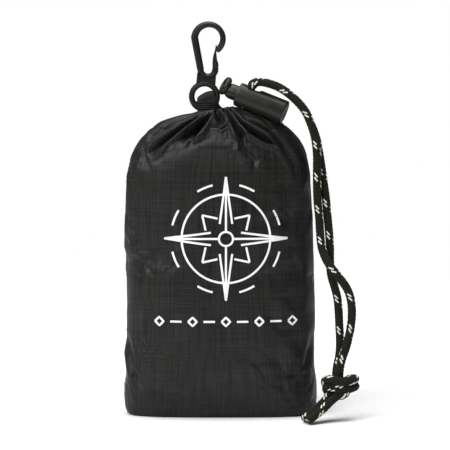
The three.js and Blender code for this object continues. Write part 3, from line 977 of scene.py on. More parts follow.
def lock_frame() -> tuple:
    """Return the cord lock's mouth and its directions: along the barrel, across it and up its cord hole.

    Returns:
        A point in metres and three unit directions.
    """
    mouth = np.array((10.5, -3.4, 195.9)) * MM
    along = np.array((0.911, -0.2, -0.36))
    along = along / np.linalg.norm(along)
    up = np.array((0, 0, 1.0)) - along * along[2]
    up = up / np.linalg.norm(up)
    return mouth, along, np.cross(along, up), up


# Pouch


@dataclass(frozen=True)
class Level:
    """One level of the pouch's wall, as shares of its own sizes."""

    rise: float
    width: float
    depth: float
    drift: float
    square: float


@dataclass(frozen=True)
class Fold:
    """A fold of the front's cloth, in millimetres.

    Its rows are x, height, half width and depth, from the mouth outwards. A ridge runs along its lower side.
    """

    rows: tuple
    ridge: float = 0.4

    def depth(self, place: np.ndarray) -> np.ndarray:
        """Return how far the fold pushes the cloth in at places of x and height.

        Args:
            place: Pairs of x and height, in millimetres.

        Returns:
            The depth at each place, in millimetres.
        """
        nearest = np.full(place.shape[:-1], 1e9)
        side, wide, deep = (np.zeros(place.shape[:-1]) for _ in range(3))
        for start, end in zip(self.rows, self.rows[1:]):
            a, run = np.array(start[:2]), np.array(end[:2]) - np.array(start[:2])
            share = np.clip(((place - a) @ run) / (run @ run), 0, 1)
            gap = place - (a + share[..., None] * run)
            away = np.linalg.norm(gap, axis=-1)
            lower = np.array([-run[1], run[0]]) / np.linalg.norm(run) * (1 if run[0] < 0 else -1)
            closer = away < nearest
            nearest = np.where(closer, away, nearest)
            side = np.where(closer, np.sign(gap @ lower), side)
            wide = np.where(closer, start[2] + (end[2] - start[2]) * share, wide)
            deep = np.where(closer, start[3] + (end[3] - start[3]) * share, deep)
        wide = np.maximum(wide, 0.1)
        bank = bell(nearest - 1.9 * wide, wide) * np.where(side > 0, self.ridge, 0.35 * self.ridge)
        return deep * (bell(nearest, wide) - bank)


@dataclass
class PouchForm:
    """The pouch's outside as a function of the angle round it and the height."""

    half_width: float = 59.0
    half_depth: float = 22.0
    shoulder: float = 142.0
    dome: float = 45.0
    mouth_half_width: float = 12.0
    mouth_half_depth: float = 6.4
    mouth_x: float = -3.0
    mouth_tilt: float = 0.12
    dome_width_power: float = 2.3
    dome_depth_power: float = 1.9
    pleats: int = 18
    fine_pleats: int = 29
    levels: tuple = (
        Level(0.0, 0.94, 0.74, 0.0, 3.0), Level(0.008, 0.97, 0.78, 0.0, 2.95), Level(0.03, 0.99, 0.82, 0.0, 2.9),
        Level(0.08, 0.998, 0.89, 0.0, 2.85), Level(0.15, 1.0, 1.04, 0.0, 2.8), Level(0.2, 0.998, 1.17, 0.0, 2.75),
        Level(0.34, 0.985, 1.22, -0.004, 2.65), Level(0.56, 0.972, 1.24, -0.01, 2.55),
        Level(0.78, 0.962, 1.2, -0.018, 2.5), Level(1.0, 0.944, 1.12, -0.024, 2.45),
    )
    folds: tuple = (
        Fold(((-13, 184, 0.8, 0.6), (-20, 178.8, 1.0, 1.6), (-28, 172.5, 1.2, 2.0), (-34, 168, 1.5, 2.2),
              (-39, 163.5, 2.1, 2.0), (-43, 159, 2.0, 0.1))),
        Fold(((-6, 184.5, 1.0, 1.2), (-11, 179.2, 1.8, 3.4), (-14.5, 175.2, 2.2, 3.6), (-20, 171.4, 2.0, 2.4),
              (-25, 167.5, 1.8, 0.1)), 0.35),
        Fold(((-13, 176.5, 1.0, 0.6), (-16, 170.5, 1.2, 1.6), (-19, 165, 1.3, 0.1)), 0.3),
        Fold(((-2.4, 186, 1.2, 1.0), (-1, 183, 2.1, 3.2), (0.2, 180, 1.8, 2.4), (0.6, 177.2, 1.2, 0.1)), 0.3),
        Fold(((2.4, 186, 0.9, 1.0), (6.6, 180.5, 1.2, 2.4), (9.4, 176, 1.4, 3.0), (11.8, 171.5, 1.7, 3.2),
              (12.2, 168, 1.2, 1.4), (13.2, 163.6, 1.7, 1.6), (17, 160.2, 2.4, 1.7), (20.2, 156.5, 1.8, 1.4),
              (20.4, 150, 1.6, 0.1)), 0.4),
        Fold(((6.6, 185.5, 0.8, 1.0), (12, 179.2, 1.1, 2.2), (18, 174, 1.4, 2.9), (24, 170.6, 1.5, 3.1),
              (30, 167, 1.2, 2.4), (35, 164.2, 1.0, 0.1)), 0.55),
        Fold(((14, 181, 0.8, 0.3), (22, 178, 1.0, 1.3), (30, 173.6, 1.3, 1.5), (36, 166.5, 1.8, 1.9),
              (41, 160, 2.0, 2.0), (44.5, 153, 1.8, 1.2), (46, 144, 2.2, 0.1)), 0.4),
        Fold(((-24, 182, 1.0, 0.2), (-32, 176.5, 1.3, 1.0), (-41, 171, 1.6, 0.9), (-47, 164, 1.6, 0.1)), 0.4),
        Fold(((-46, 166, 1.6, 0.1), (-45, 158, 2.2, 0.5), (-42, 150, 2.4, 0.4), (-41, 140, 2.6, 0.1)), 0.3),
        Fold(((-5.5, 176.6, 0.7, 0.1), (-2.4, 177, 0.7, 0.8), (0.4, 175.4, 0.7, 0.9), (3.4, 177.2, 0.7, 0.8),
              (5.6, 178.6, 0.7, 0.1)), 0.6),
        Fold(((-43.5, 158, 3.0, 0.1), (-43, 135, 4.0, 0.9), (-43, 105, 4.2, 0.9), (-41, 70, 4.0, 0.1)), 0.5),
        Fold(((35, 158, 3.0, 0.1), (39, 140, 4.2, 1.0), (42, 115, 4.6, 0.9), (45, 80, 4.6, 0.9), (47, 50, 4.2, 0.9),
              (48, 36, 3.0, 0.1)), 0.3),
        Fold(((-57.5, 50, 1.2, 0.2), (-55.5, 38, 1.5, 1.4), (-52.5, 26, 1.7, 1.6), (-50, 12, 2.0, 0.3)), 0.9),
        Fold(((57.0, 52, 1.4, 0.1), (55.0, 42, 1.6, 0.7), (52.5, 33, 1.8, 0.9), (50.5, 22, 2.0, 0.2)), 0.5),
        Fold(((46, 38, 2.6, 0.1), (45, 27, 3.0, 1.5), (47.5, 15, 3.0, 1.4), (50, 6, 2.4, 0.2)), 0.35),
        Fold(((37, 30, 2.0, 0.1), (38.5, 20, 2.0, 0.7), (42, 11, 2.0, 0.7), (46, 5, 1.6, 0.1)), 0.5),
        Fold(((-46, 13, 2.0, 0.1), (-37, 16, 2.6, 0.9), (-28, 19.5, 2.8, 0.7), (-20, 21, 2.6, 0.1)), 0.2),
        Fold(((-17, 18, 2.0, 0.1), (-14, 10, 2.4, 0.5), (-13, 4, 2.0, 0.1)), 0.5),
    )

    @property
    def height(self) -> float:
        """Return the height of the mouth."""
        return self.shoulder + self.dome

    def level(self, z: np.ndarray) -> tuple:
        """Return half width, half depth, sideways place and squareness at heights, evened out over a few of them.

        Args:
            z: Heights in millimetres.

        Returns:
            Four arrays, one value for each height.
        """
        reach = 7.0 * np.clip(np.minimum(z / 40, (self.height - z) / 25), 0, 1)
        rows = [self.raw_level(z + share * reach) for share in (-1.0, -0.5, 0.0, 0.5, 1.0)]
        weights = (0.12, 0.23, 0.3, 0.23, 0.12)
        return tuple(sum(weight * row[k] for weight, row in zip(weights, rows)) for k in range(4))

    def raw_level(self, z: np.ndarray) -> tuple:
        """Return half width, half depth, sideways place and squareness at heights.

        Args:
            z: Heights in millimetres.

        Returns:
            Four arrays, one value for each height.
        """
        rises = [row.rise * self.shoulder for row in self.levels]
        width, depth, drift, square = (
            np.interp(z, rises, [getattr(row, key) for row in self.levels])
            for key in ("width", "depth", "drift", "square")
        )
        share = share_of(z, self.shoulder, self.height)
        width = width * self.half_width * (1 - share**self.dome_width_power) ** (1 / self.dome_width_power)
        depth = depth * self.half_depth * (1 - share**self.dome_depth_power) ** (1 / self.dome_depth_power)
        above = z > self.shoulder
        width = np.where(above, np.cbrt(width**3 + self.mouth_half_width**3), width)
        depth = np.where(above, np.cbrt(depth**3 + self.mouth_half_depth**3), depth)
        x = drift * self.half_width * (1 - 1.3 * share)
        x = x + (self.mouth_x - x) * share**20
        return width, depth, x, square + (3.5 - square) * share**4

    def smooth(self, angle: np.ndarray, z: np.ndarray) -> np.ndarray:
        """Return points of the form without its folds.

        Args:
            angle: Angles round the pouch, in radians.
            z: Heights in millimetres.

        Returns:
            Points in millimetres.
        """
        width, depth, x, square = self.level(z)
        cos, sin = np.cos(angle), np.sin(angle)
        power = 2 / square
        return np.stack(
            [x + width * np.sign(cos) * np.abs(cos) ** power, depth * np.sign(sin) * np.abs(sin) ** power, z], axis=-1
        )

    def outward(self, angle: np.ndarray, z: np.ndarray) -> np.ndarray:
        """Return the outward direction at points of the form.

        Args:
            angle: Angles round the pouch, in radians.
            z: Heights in millimetres.

        Returns:
            Unit directions.
        """
        step = 0.4
        low = np.minimum(z, self.height - step)
        along = self.smooth(angle, low + step) - self.smooth(angle, np.maximum(low - step, 0))
        around = self.smooth(angle + 0.02, z) - self.smooth(angle - 0.02, z)
        normal = np.cross(around, along)
        return normal / np.linalg.norm(normal, axis=-1)[..., None]

    def fold_depth(self, points: np.ndarray) -> np.ndarray:
        """Return how far the front's folds push the cloth in at points.

        Args:
            points: Points of the form, in millimetres.

        Returns:
            The depth at each, 0 on the back.
        """
        total = sum(fold.depth(points[..., [0, 2]]) for fold in self.folds)
        high = share_of(points[..., 2], 150, 165)
        return np.where(points[..., 1] < 0, total * (1 + 0.8 * high), 0)

    def even_angles(self, count: int, front_share: float) -> np.ndarray:
        """Return angles whose points lie evenly spaced, closer together on the front.

        Args:
            count: The number of angles.
            front_share: How much of the spacing the front counts.

        Returns:
            The angles, in radians.
        """
        fine = np.linspace(0, 2 * np.pi, 20001)
        ring = self.smooth(fine, np.full_like(fine, 110.0))
        step = np.linalg.norm(np.diff(ring, axis=0), axis=1)
        step = step * np.where(ring[1:, 1] < 0, front_share, 1 - front_share)
        along = np.concatenate([[0], np.cumsum(step)])
        return np.interp(np.arange(count) / count * along[-1], along, fine)

    def gathers(self, angle: np.ndarray, z: np.ndarray) -> np.ndarray:
        """Return the uneven pleats of the drawn cloth below the mouth.

        Args:
            angle: Angles round the pouch, in radians.
            z: Heights in millimetres.

        Returns:
            How far the pleats stand out, in millimetres.
        """
        share = (z - self.shoulder) / self.dome
        near = eased(share_of(share, 0.3, 0.85))
        away = 1 - 0.75 * share_of(share, 0.95, 1.0)
        wander = 0.25 * np.sin(3 * angle + 1.1) + 0.2 * np.sin(5 * angle + 4.0)
        pleats = np.cos(self.pleats * (angle + 0.12 * wander))
        pleats = pleats + 0.55 * np.cos(self.fine_pleats * angle + 2.0) * near - 0.9
        back = np.where(np.sin(angle) < 0, 0.14, 1.0)
        return 1.15 * near * away * pleats * back


@dataclass
class Pouch:
    """The drawstring pouch: cloth, channel seam, side seams and its print."""

    form: PouchForm = field(default_factory=PouchForm)
    columns: int = 396
    rows: int = 236
    front_share: float = 0.64
    cloth_steps: int = 14
    cloth_cap: float = 1.0
    seam_height: float = 176.5
    side_seam_turn: float = 0.16
    lock_room: float = 7.7
    lock_reach: tuple = (-3.0, 34.5)
    foot_shares: tuple = (0.35, 0.7, 0.9, 0.97)
    lip_turns: tuple = ((0.9, -0.5), (0.84, 0.4), (0.8, 1.8), (0.79, 4.0), (0.8, 7.0))

    def heights(self) -> np.ndarray:
        """Return the rows' heights, closer together where the cloth bends most.

        Returns:
            Heights in millimetres, from the base to the mouth.
        """
        low = np.array([0.0, 0.35, 0.8, 1.3, 2.0, 2.8, 3.8])
        side = np.linspace(4.9, self.form.shoulder, int(self.rows * 0.62))
        share = np.linspace(0, 1, int(self.rows * 0.34) + 1)[1:]
        dome = self.form.shoulder + self.form.dome * (1 - (1 - share) ** 1.7)
        return np.concatenate([low, side, dome])

    def surface(self) -> np.ndarray:
        """Return the cloth's points, folded and gathered.

        Returns:
            Points in millimetres, row by row.
        """
        angle = self.form.even_angles(self.columns, self.front_share)
        heights = self.heights()
        z, a = np.meshgrid(heights, angle, indexing="ij")
        base = self.form.smooth(a, z)
        normal = self.form.outward(a, z)
        lift = self.form.gathers(a, z) - self.form.fold_depth(base)
        lift = lift + self.crinkles(base, z) * (1 - 0.7 * share_of(z, 160, 180)) + self.seams(a, z)
        points = base + normal * (lift * share_of(z, 0, 3))[..., None]
        drawn = share_of(z, 174, 186) ** 2
        points[..., 2] += drawn * (-0.6 + self.form.mouth_tilt * np.clip(base[..., 0] - self.form.mouth_x, -14, 14))
        return points

    def crinkles(self, base: np.ndarray, z: np.ndarray) -> np.ndarray:
        """Return the cloth's small creases and its slight unevenness.

        Args:
            base: The form's points.
            z: Heights in millimetres.

        Returns:
            How far the cloth stands out, in millimetres.
        """
        flat = base.reshape(-1, 3)
        soft = np.array([noise.noise(Vector((x * 0.035, y * 0.05, h * 0.022 + 7))) for x, y, h in flat])
        fine = np.array([noise.noise(Vector((x * 0.11 + 3, y * 0.11, h * 0.07))) for x, y, h in flat])
        across = [Vector((x * 0.06 + h * 0.035, y * 0.06, h * 0.05 + 31)) for x, y, h in flat]
        sharp = np.array([noise.noise(place) for place in across])
        low = bell(z.ravel() - 12, 24)
        total = soft * 1.1 + fine * 0.28 - bell(sharp, 0.05) * (0.07 + 0.3 * low)
        return total.reshape(z.shape)

    def seams(self, angle: np.ndarray, z: np.ndarray) -> np.ndarray:
        """Return the furrow of the cord channel's stitching and the ridges of the side seams.

        Args:
            angle: Angles round the pouch, in radians.
            z: Heights in millimetres.

        Returns:
            How far the cloth stands out, in millimetres.
        """
        channel = self.seam_height + 1.2 * np.sin(3 * angle + 0.6)
        furrow = 0.25 * bell(z - channel - 3, 2.2) - 0.3 * bell(z - channel, 0.9)
        turn = self.side_seam_turn
        side = np.minimum(np.abs(np.sin((angle - turn) / 2)), np.abs(np.cos((angle + turn) / 2)))
        side = side * 2 * self.form.half_depth
        ridge = 0.5 * bell(side, 1.2) - 0.3 * bell(side - 2.6, 1.4)
        return furrow + ridge * (1 - share_of(z, self.form.shoulder, self.form.shoulder + 20))

    def settle(self, points: np.ndarray) -> np.ndarray:
        """Let a coarse copy of the cloth settle by simulation and return how far each point moves.

        Args:
            points: The cloth's points, row by row, in millimetres.

        Returns:
            The moves, in millimetres, at every point of the fine cloth.
        """
        rows, columns = points.shape[:2]
        picked_rows = np.unique(np.concatenate([np.arange(0, rows, 3), [rows - 1]]))
        coarse = points[picked_rows][:, ::3] * MM
        r, c = coarse.shape[:2]
        made = mesh_object("cloth_trial", coarse.reshape(-1, 3), grid_faces(r, c))
        held = made.vertex_groups.new(name="held")
        for row in range(r):
            z = coarse[row, 0, 2] / MM
            weight = max(0.04, 1 - min(z / 10, 1), min(max((z - 168) / 12, 0), 1))
            held.add(list(range(row * c, row * c + c)), weight, "REPLACE")
        cloth = made.modifiers.new("cloth", "CLOTH")
        rules = configured(
            cloth.settings, quality=6, mass=0.12, tension_stiffness=12, compression_stiffness=12, shear_stiffness=6,
            bending_stiffness=0.25, shrink_min=-0.022, vertex_group_mass="held", pin_stiffness=4, use_pressure=True,
            uniform_pressure_force=1.4,
        )
        rules.effector_weights.gravity = 0.0
        cloth.collision_settings.use_self_collision = False
        scene = bpy.context.scene
        for step in range(1, self.cloth_steps + 1):
            scene.frame_set(step)
        graph = bpy.context.evaluated_depsgraph_get()
        settled = np.empty(len(made.data.vertices) * 3)
        made.evaluated_get(graph).data.vertices.foreach_get("co", settled)
        scene.frame_set(1)
        bpy.data.objects.remove(made)
        move = (settled.reshape(r, c, 3) - coarse) / MM
        size = np.linalg.norm(move, axis=-1)
        move *= (np.tanh(size / self.cloth_cap) * self.cloth_cap / np.maximum(size, 1e-9))[..., None]
        return self.refined(move, picked_rows, rows, columns)

    def refined(self, move: np.ndarray, picked: np.ndarray, rows: int, columns: int) -> np.ndarray:
        """Spread the coarse moves over the fine rows and columns.

        Args:
            move: The coarse moves.
            picked: The rows they belong to.
            rows: The number of fine rows.
            columns: The number of fine columns.

        Returns:
            The moves at every point.
        """
        down = [np.interp(np.arange(rows), picked, column) for column in move.reshape(len(picked), -1).T]
        down = np.stack(down, axis=1).reshape(rows, -1, 3)
        wrapped = np.concatenate([down, down[:, :1]], axis=1)
        at = np.arange(columns) / 3
        whole = np.minimum(at.astype(int), move.shape[1] - 1)
        share = (at - whole)[None, :, None]
        return wrapped[:, whole] * (1 - share) + wrapped[:, whole + 1] * share

    def off_neighbours(self, points: np.ndarray) -> np.ndarray:
        """Press the cloth down under the cord lock, which lies on it.

        Args:
            points: The cloth's points, in millimetres.

        Returns:
            The points after it.
        """
        mouth, along, _, _ = lock_frame()
        away = points - mouth / MM
        run = away @ along
        away = away - run[..., None] * along
        size = np.linalg.norm(away, axis=-1)
        room = np.clip(self.lock_room - size, 0, None)
        inside = (run > self.lock_reach[0]) & (run < self.lock_reach[1])
        return points + np.where(inside, room / np.maximum(size, 1e-6), 0)[..., None] * away

    def build(self) -> bpy.types.Object:
        """Build the pouch's cloth as one closed mesh.

        Returns:
            The cloth.
        """
        points = self.surface()
        points = points + self.settle(points)
        points = self.off_neighbours(points)
        points[..., 2] = np.maximum(points[..., 2], 0)
        points[0, :, 2] = 0
        foot = [points[0] * [1, 1, 0] * share for share in self.foot_shares]
        lip, middle, inside = points[-1], np.array([self.form.mouth_x, 0, 0]), []
        for inward, drop in self.lip_turns:
            ring = middle + (lip - middle) * [inward, inward, 1]
            ring[:, 2] = lip[:, 2] - drop
            inside.append(ring)
        stacked = np.array([*foot, *points, *inside])
        given = np.vstack([stacked.reshape(-1, 3), (0, 0, 0), inside[-1].mean(axis=0)])
        made = skin("pouch_cloth", given, len(stacked), Finishes.NYLON.material())
        self.cloth_uv(made, stacked)
        self.points = points
        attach(made, PACK)
        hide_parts("pouch")
        return made

    def cloth_uv(self, made: bpy.types.Object, stacked: np.ndarray) -> None:
        """Lay the weave on the cloth: its width round the pouch's middle and its length up the wall.

        Args:
            made: The cloth.
            stacked: Its rings of points, in millimetres.
        """
        girth_angle = np.append(self.form.even_angles(self.columns, self.front_share), 2 * np.pi)
        middle = self.form.smooth(girth_angle, np.full_like(girth_angle, 80.0))
        around = np.concatenate([[0], np.cumsum(np.linalg.norm(np.diff(middle, axis=0), axis=1))])
        rise = np.linalg.norm(np.diff(stacked.mean(axis=1), axis=0), axis=1)
        steps = np.linalg.norm(np.diff(stacked, axis=0), axis=-1).mean(axis=1)
        up = np.concatenate([[0], np.cumsum(np.maximum(rise, steps))])
        u = np.broadcast_to(around[:-1], stacked.shape[:2])
        v = np.broadcast_to(up[:, None], stacked.shape[:2])
        pairs = np.column_stack([u.ravel(), v.ravel()])
        pairs = np.vstack([pairs, [0, 0], [0, up[-1]]]) * MM
        write_uv(made, "cloth", pairs, around[-1] * MM)

    def row_at(self, height: float) -> int:
        """Return the number of the row of points nearest to a height."""
        return int(np.argmin(np.abs(self.heights() - height)))

    def stitches(self) -> list:
        """Sew the cord channel and both side seams.

        Returns:
            One piece for each seam.
        """
        sewn = []
        seam = self.row_at(self.seam_height)
        ring = np.vstack([self.points[seam], self.points[seam][:1]])
        ring = ring + self.raised(seam) * 0.12
        paths = {"channel_stitches": ring * MM}
        top, foot = self.row_at(self.form.shoulder + 18), self.row_at(4)
        left = int(np.argmin(np.abs(self.form.even_angles(self.columns, self.front_share) - np.pi)))
        for name, column in (("right_side_stitches", 7), ("left_side_stitches", left - 7)):
            edge = self.points[foot:top:2, column]
            out = np.zeros_like(edge)
            out[:, 0] = 0.05 if column < self.columns / 4 else -0.05
            paths[name] = (edge + out) * MM
        row = Row("stitches", Repeat.STITCH, 3.2 * MM, 0.36 * MM, 2.6 * MM, Finishes.THREAD)
        for name, line in paths.items():
            row.name = name
            made = row.along(line, np.gradient(line, axis=0))
            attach(made, PACK)
            sewn.append(made)
        return sewn

    def raised(self, row: int) -> np.ndarray:
        """Return the outward directions along one row of the cloth."""
        angle = np.append(self.form.even_angles(self.columns, self.front_share), 2 * np.pi)
        return self.form.outward(angle, np.full_like(angle, self.heights()[row]))


@dataclass
class CompassPrint:
    """A compass rose and a row of marks, printed in white lines on the pouch's front."""

    centre: tuple = (3.3, 110.0)
    line: float = 1.25
    outer: float = 33.0
    inner: float = 26.5
    long_point: float = 37.0
    short_point: float = 20.0
    waist: float = 6.5
    hub: float = 4.2
    row_height: float = 60.2
    row_half: float = 40.0
    mark_step: float = 10.0
    diamond: float = 2.6
    dash: float = 3.4
    rise: float = 0.09

    def strokes(self) -> list:
        """Return the drawing's lines as plane polylines.

        Returns:
            Lists of x and height, in millimetres.
        """
        cx, cz = self.centre
        drawn = [arc(self.centre, r, 0, 360, 120) for r in (self.inner, self.hub)]
        drawn += [
            arc(self.centre, self.outer, 45 * k + 14, 45 * k + 31, 10) for k in range(8)
        ]
        for k in range(8):
            way = math.radians(45 * k)
            reach = self.long_point if k % 2 == 0 else self.short_point
            base = self.waist if k % 2 == 0 else self.waist * 1.35
            tip = (cx + reach * math.sin(way), cz + reach * math.cos(way))
            for side in (-1, 1):
                turn = way + side * math.radians(22.5)
                foot = (cx + base * 1.5 * math.sin(turn), cz + base * 1.5 * math.cos(turn))
                drawn.append([foot, tip])
            if k % 2 == 0:
                near = (cx + self.hub * math.sin(way), cz + self.hub * math.cos(way))
                drawn.append([near, tip])
        for i in range(int(2 * self.row_half / self.mark_step) + 1):
            x, z, half = cx - self.row_half + i * self.mark_step, self.row_height, self.diamond
            if i % 2 == 0:
                drawn.append([(x - half, z), (x, z + half), (x + half, z), (x, z - half), (x - half, z)])
            else:
                drawn.append([(x - self.dash, z), (x + self.dash, z)])
        return drawn

    def resampled(self, stroke: list) -> np.ndarray:
        """Return a stroke's points about a millimetre apart, its corners kept.

        Args:
            stroke: The stroke's corners.

        Returns:
            The points in order.
        """
        points = [np.array(stroke[0])]
        for start, end in zip(stroke, stroke[1:]):
            a, b = np.array(start), np.array(end)
            count = max(int(np.linalg.norm(b - a) / 0.9), 1)
            points += [a + (b - a) * (s + 1) / count for s in range(count)]
        return np.array(points)

    def build(self, cloth: bpy.types.Object) -> bpy.types.Object:
        """Print the drawing on the cloth.

        Args:
            cloth: The finished pouch.

        Returns:
            The print.
        """
        graph = bpy.context.evaluated_depsgraph_get()
        tree = BVHTree.FromObject(cloth, graph)
        points, faces = [], []
        for stroke in self.strokes():
            line = self.resampled(stroke)
            way = np.gradient(line, axis=0)
            way /= np.maximum(np.linalg.norm(way, axis=1)[:, None], 1e-9)
            side = np.column_stack([-way[:, 1], way[:, 0]])
            start = len(points)
            for place, across in zip(line, side):
                for share in (-0.5, 0.0, 0.5):
                    x, z = place + across * self.line * share
                    hit, normal, _, _ = tree.ray_cast(Vector((x * MM, -0.2, z * MM)), Vector((0, 1, 0)))
                    points.append(hit + normal * self.rise * MM)
            for i in range(len(line) - 1):
                for k in range(2):
                    a = start + i * 3 + k
                    faces.append((a, a + 3, a + 4, a + 1))
        made = mesh_object("compass_print", points, faces, Finishes.INK.material())
        self.face_front(made)
        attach(made, PACK)
        return made

    def face_front(self, made: bpy.types.Object) -> None:
        """Turn every face of the print towards the front.

        Args:
            made: The print.
        """
        bm = bmesh.new()
        bm.from_mesh(made.data)
        bm.normal_update()
        turned = [f for f in bm.faces if f.normal.y > 0]
        bmesh.ops.reverse_faces(bm, faces=turned)
        bm.to_mesh(made.data)
        bm.free()


@dataclass
class FoldedBackpack:
    """The backpack, folded to a layered bundle inside the pouch."""

    form: PouchForm = field(default_factory=PouchForm)
    inset: float = 4.6
    layers: int = 7

    def build(self) -> bpy.types.Object:
        """Build the bundle, hidden in the pouch.

        Returns:
            The bundle.
        """
        columns = 120
        angle = np.arange(columns) / columns * 2 * np.pi
        rows = []
        for z in np.concatenate([[1.9], np.linspace(4, 150, 70), np.linspace(152, 170, 14)]):
            smooth = self.form.smooth(angle, np.full(columns, z))
            normal = self.form.outward(angle, np.full(columns, max(z, 6.0)))
            layered = 0.8 * np.abs(np.sin(self.layers * np.pi * (smooth[:, 1] / 50 + 0.5)))
            closing = max(z - 146, 0) / 24
            ring = smooth - normal * (self.inset + layered)[:, None]
            middle = np.array([0, 0, z])
            ring = middle + (ring - middle) * (1 - 0.25 * closing**2)
            ring[:, 2] = z
            rows.append(ring)
        given = np.vstack([*rows, (0, 0, 1.9), (0, 0, 171.0)])
        made = skin("folded_bundle", given, len(rows), Finishes.BUNDLE.material())
        write_uv(made, "cloth", given[:, [0, 2]] * MM)
        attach(made, PACK)
        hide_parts("folded_backpack")
        return made


# Webbing tab


@dataclass
class WebbingTab:
    """The folded webbing that holds the hook's ring."""

    width: float = 15.8
    ply: float = 1.3
    top: float = 197.6
    bottom: float = 182.5
    hook_thickness: float = 4.0
    clearance: float = 0.3
    mouth: tuple = (-6.0, 186.4)
    ring_x: float = -9.7
    rib_spacing: float = 1.3

    def stations(self) -> list:
        """Return the band's middle line: place, half width and the direction out of its face.

        Returns:
            The stations, from the front's foot over the ring to the back's foot.
        """
        half = self.hook_thickness / 2 + self.clearance + self.ply / 2
        bend = self.top - half - self.ply / 2
        spread = [(self.bottom, 0.0, 1.0), (self.mouth[1], 0.0, 1.0), (self.mouth[1] + 2.4, 0.45, 0.92),
                  ((self.mouth[1] + bend) / 2 + 1.2, 0.6, 0.86), (bend, 0.75, 0.76)]
        rows = []
        for z, share, width in spread:
            rows.append((np.array([self.mouth[0] + (self.ring_x - self.mouth[0]) * share, -half, z]),
                         width, np.array([0, -1.0, 0])))
        back = [(p * [1, -1, 1], w, n * [1, -1, 1]) for p, w, n in reversed(rows)]
        steps = 9
        x = self.mouth[0] + (self.ring_x - self.mouth[0]) * 0.8
        over = []
        for step in range(1, steps):
            turn = step / steps * math.pi
            out = np.array([0, -math.cos(turn), math.sin(turn)])
            over.append((np.array([x, 0, bend]) + half * out, 0.66, out))
        return rows + over + back

    def build(self) -> list:
        """Build the band and its crosswise ribs.

        Returns:
            The band and the ribs.
        """
        stations = self.stations()
        line = catmull([p * MM for p, _, _ in stations], 0.45 * MM)
        given = np.array([p for p, _, _ in stations]) * MM
        nearest = np.argmin(np.linalg.norm(line[:, None] - given[None], axis=-1), axis=1)
        order = np.concatenate([[0], np.cumsum(np.linalg.norm(np.diff(given, axis=0), axis=1))])
        along = np.linspace(0, order[-1], len(line))
        width = np.interp(along, order, [w for _, w, _ in stations]) * self.width / 2 * MM
        tangent = np.gradient(line, axis=0)
        out = np.cross((1.0, 0, 0), tangent)
        out /= np.linalg.norm(out, axis=1)[:, None]
        out = np.where((out * np.array([n for _, _, n in stations])[nearest]).sum(axis=1)[:, None] < 0, -out, out)
        section = self.section()
        points = []
        for place, half, way in zip(line, width, out):
            near = min(max((place[2] / MM - self.top + 9) / 7, 0), 1)
            for across, rise in section:
                lift = near * (0.4 - 4.3 * (max(0.95 - across, 0) / 1.95) ** 2.2) * MM
                points.append(place + np.array([1.0, 0, 0]) * across * half + way * rise * MM
                              + np.array([0, 0, 1.0]) * lift)
        count = len(section)
        faces = grid_faces(len(line), count, caps=True)
        band = mesh_object("webbing_band", points, faces, Finishes.WEBBING.material())
        recalculated(band)
        row = Row("webbing_ribs", Repeat.ROD, self.rib_spacing * MM, 0.95 * MM, 2 * MM, Finishes.WEBBING)
        sides = []
        for front in (True, False):
            flat = (line[:, 2] < (self.top - 6.5) * MM) & ((line[:, 1] < 0) == front)
            skin = (line + out * self.ply / 2 * MM)[flat]
            sides.append(row.along(skin, np.tile((1.0, 0, 0), (len(skin), 1)), width[flat] * 0.97 / MM))
        ribs = joined("webbing_ribs", sides)
        for made in (band, ribs):
            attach(made, PACK)
        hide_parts("webbing_tab")
        return [band, ribs]

    def section(self) -> list:
        """Return the band's section: a share of its half width and a rise in millimetres.

        Returns:
            Pairs, once round the section.
        """
        half = self.ply / 2 - 0.1
        across = [-0.97, -0.85, -0.65, -0.4, -0.15, 0.15, 0.4, 0.7, 0.97]
        upper = [(s, half) for s in across]
        return [(-1.0, 0.0), *upper, (1.0, 0.0), *((s, -half) for s in reversed(across))]


# Snap hook


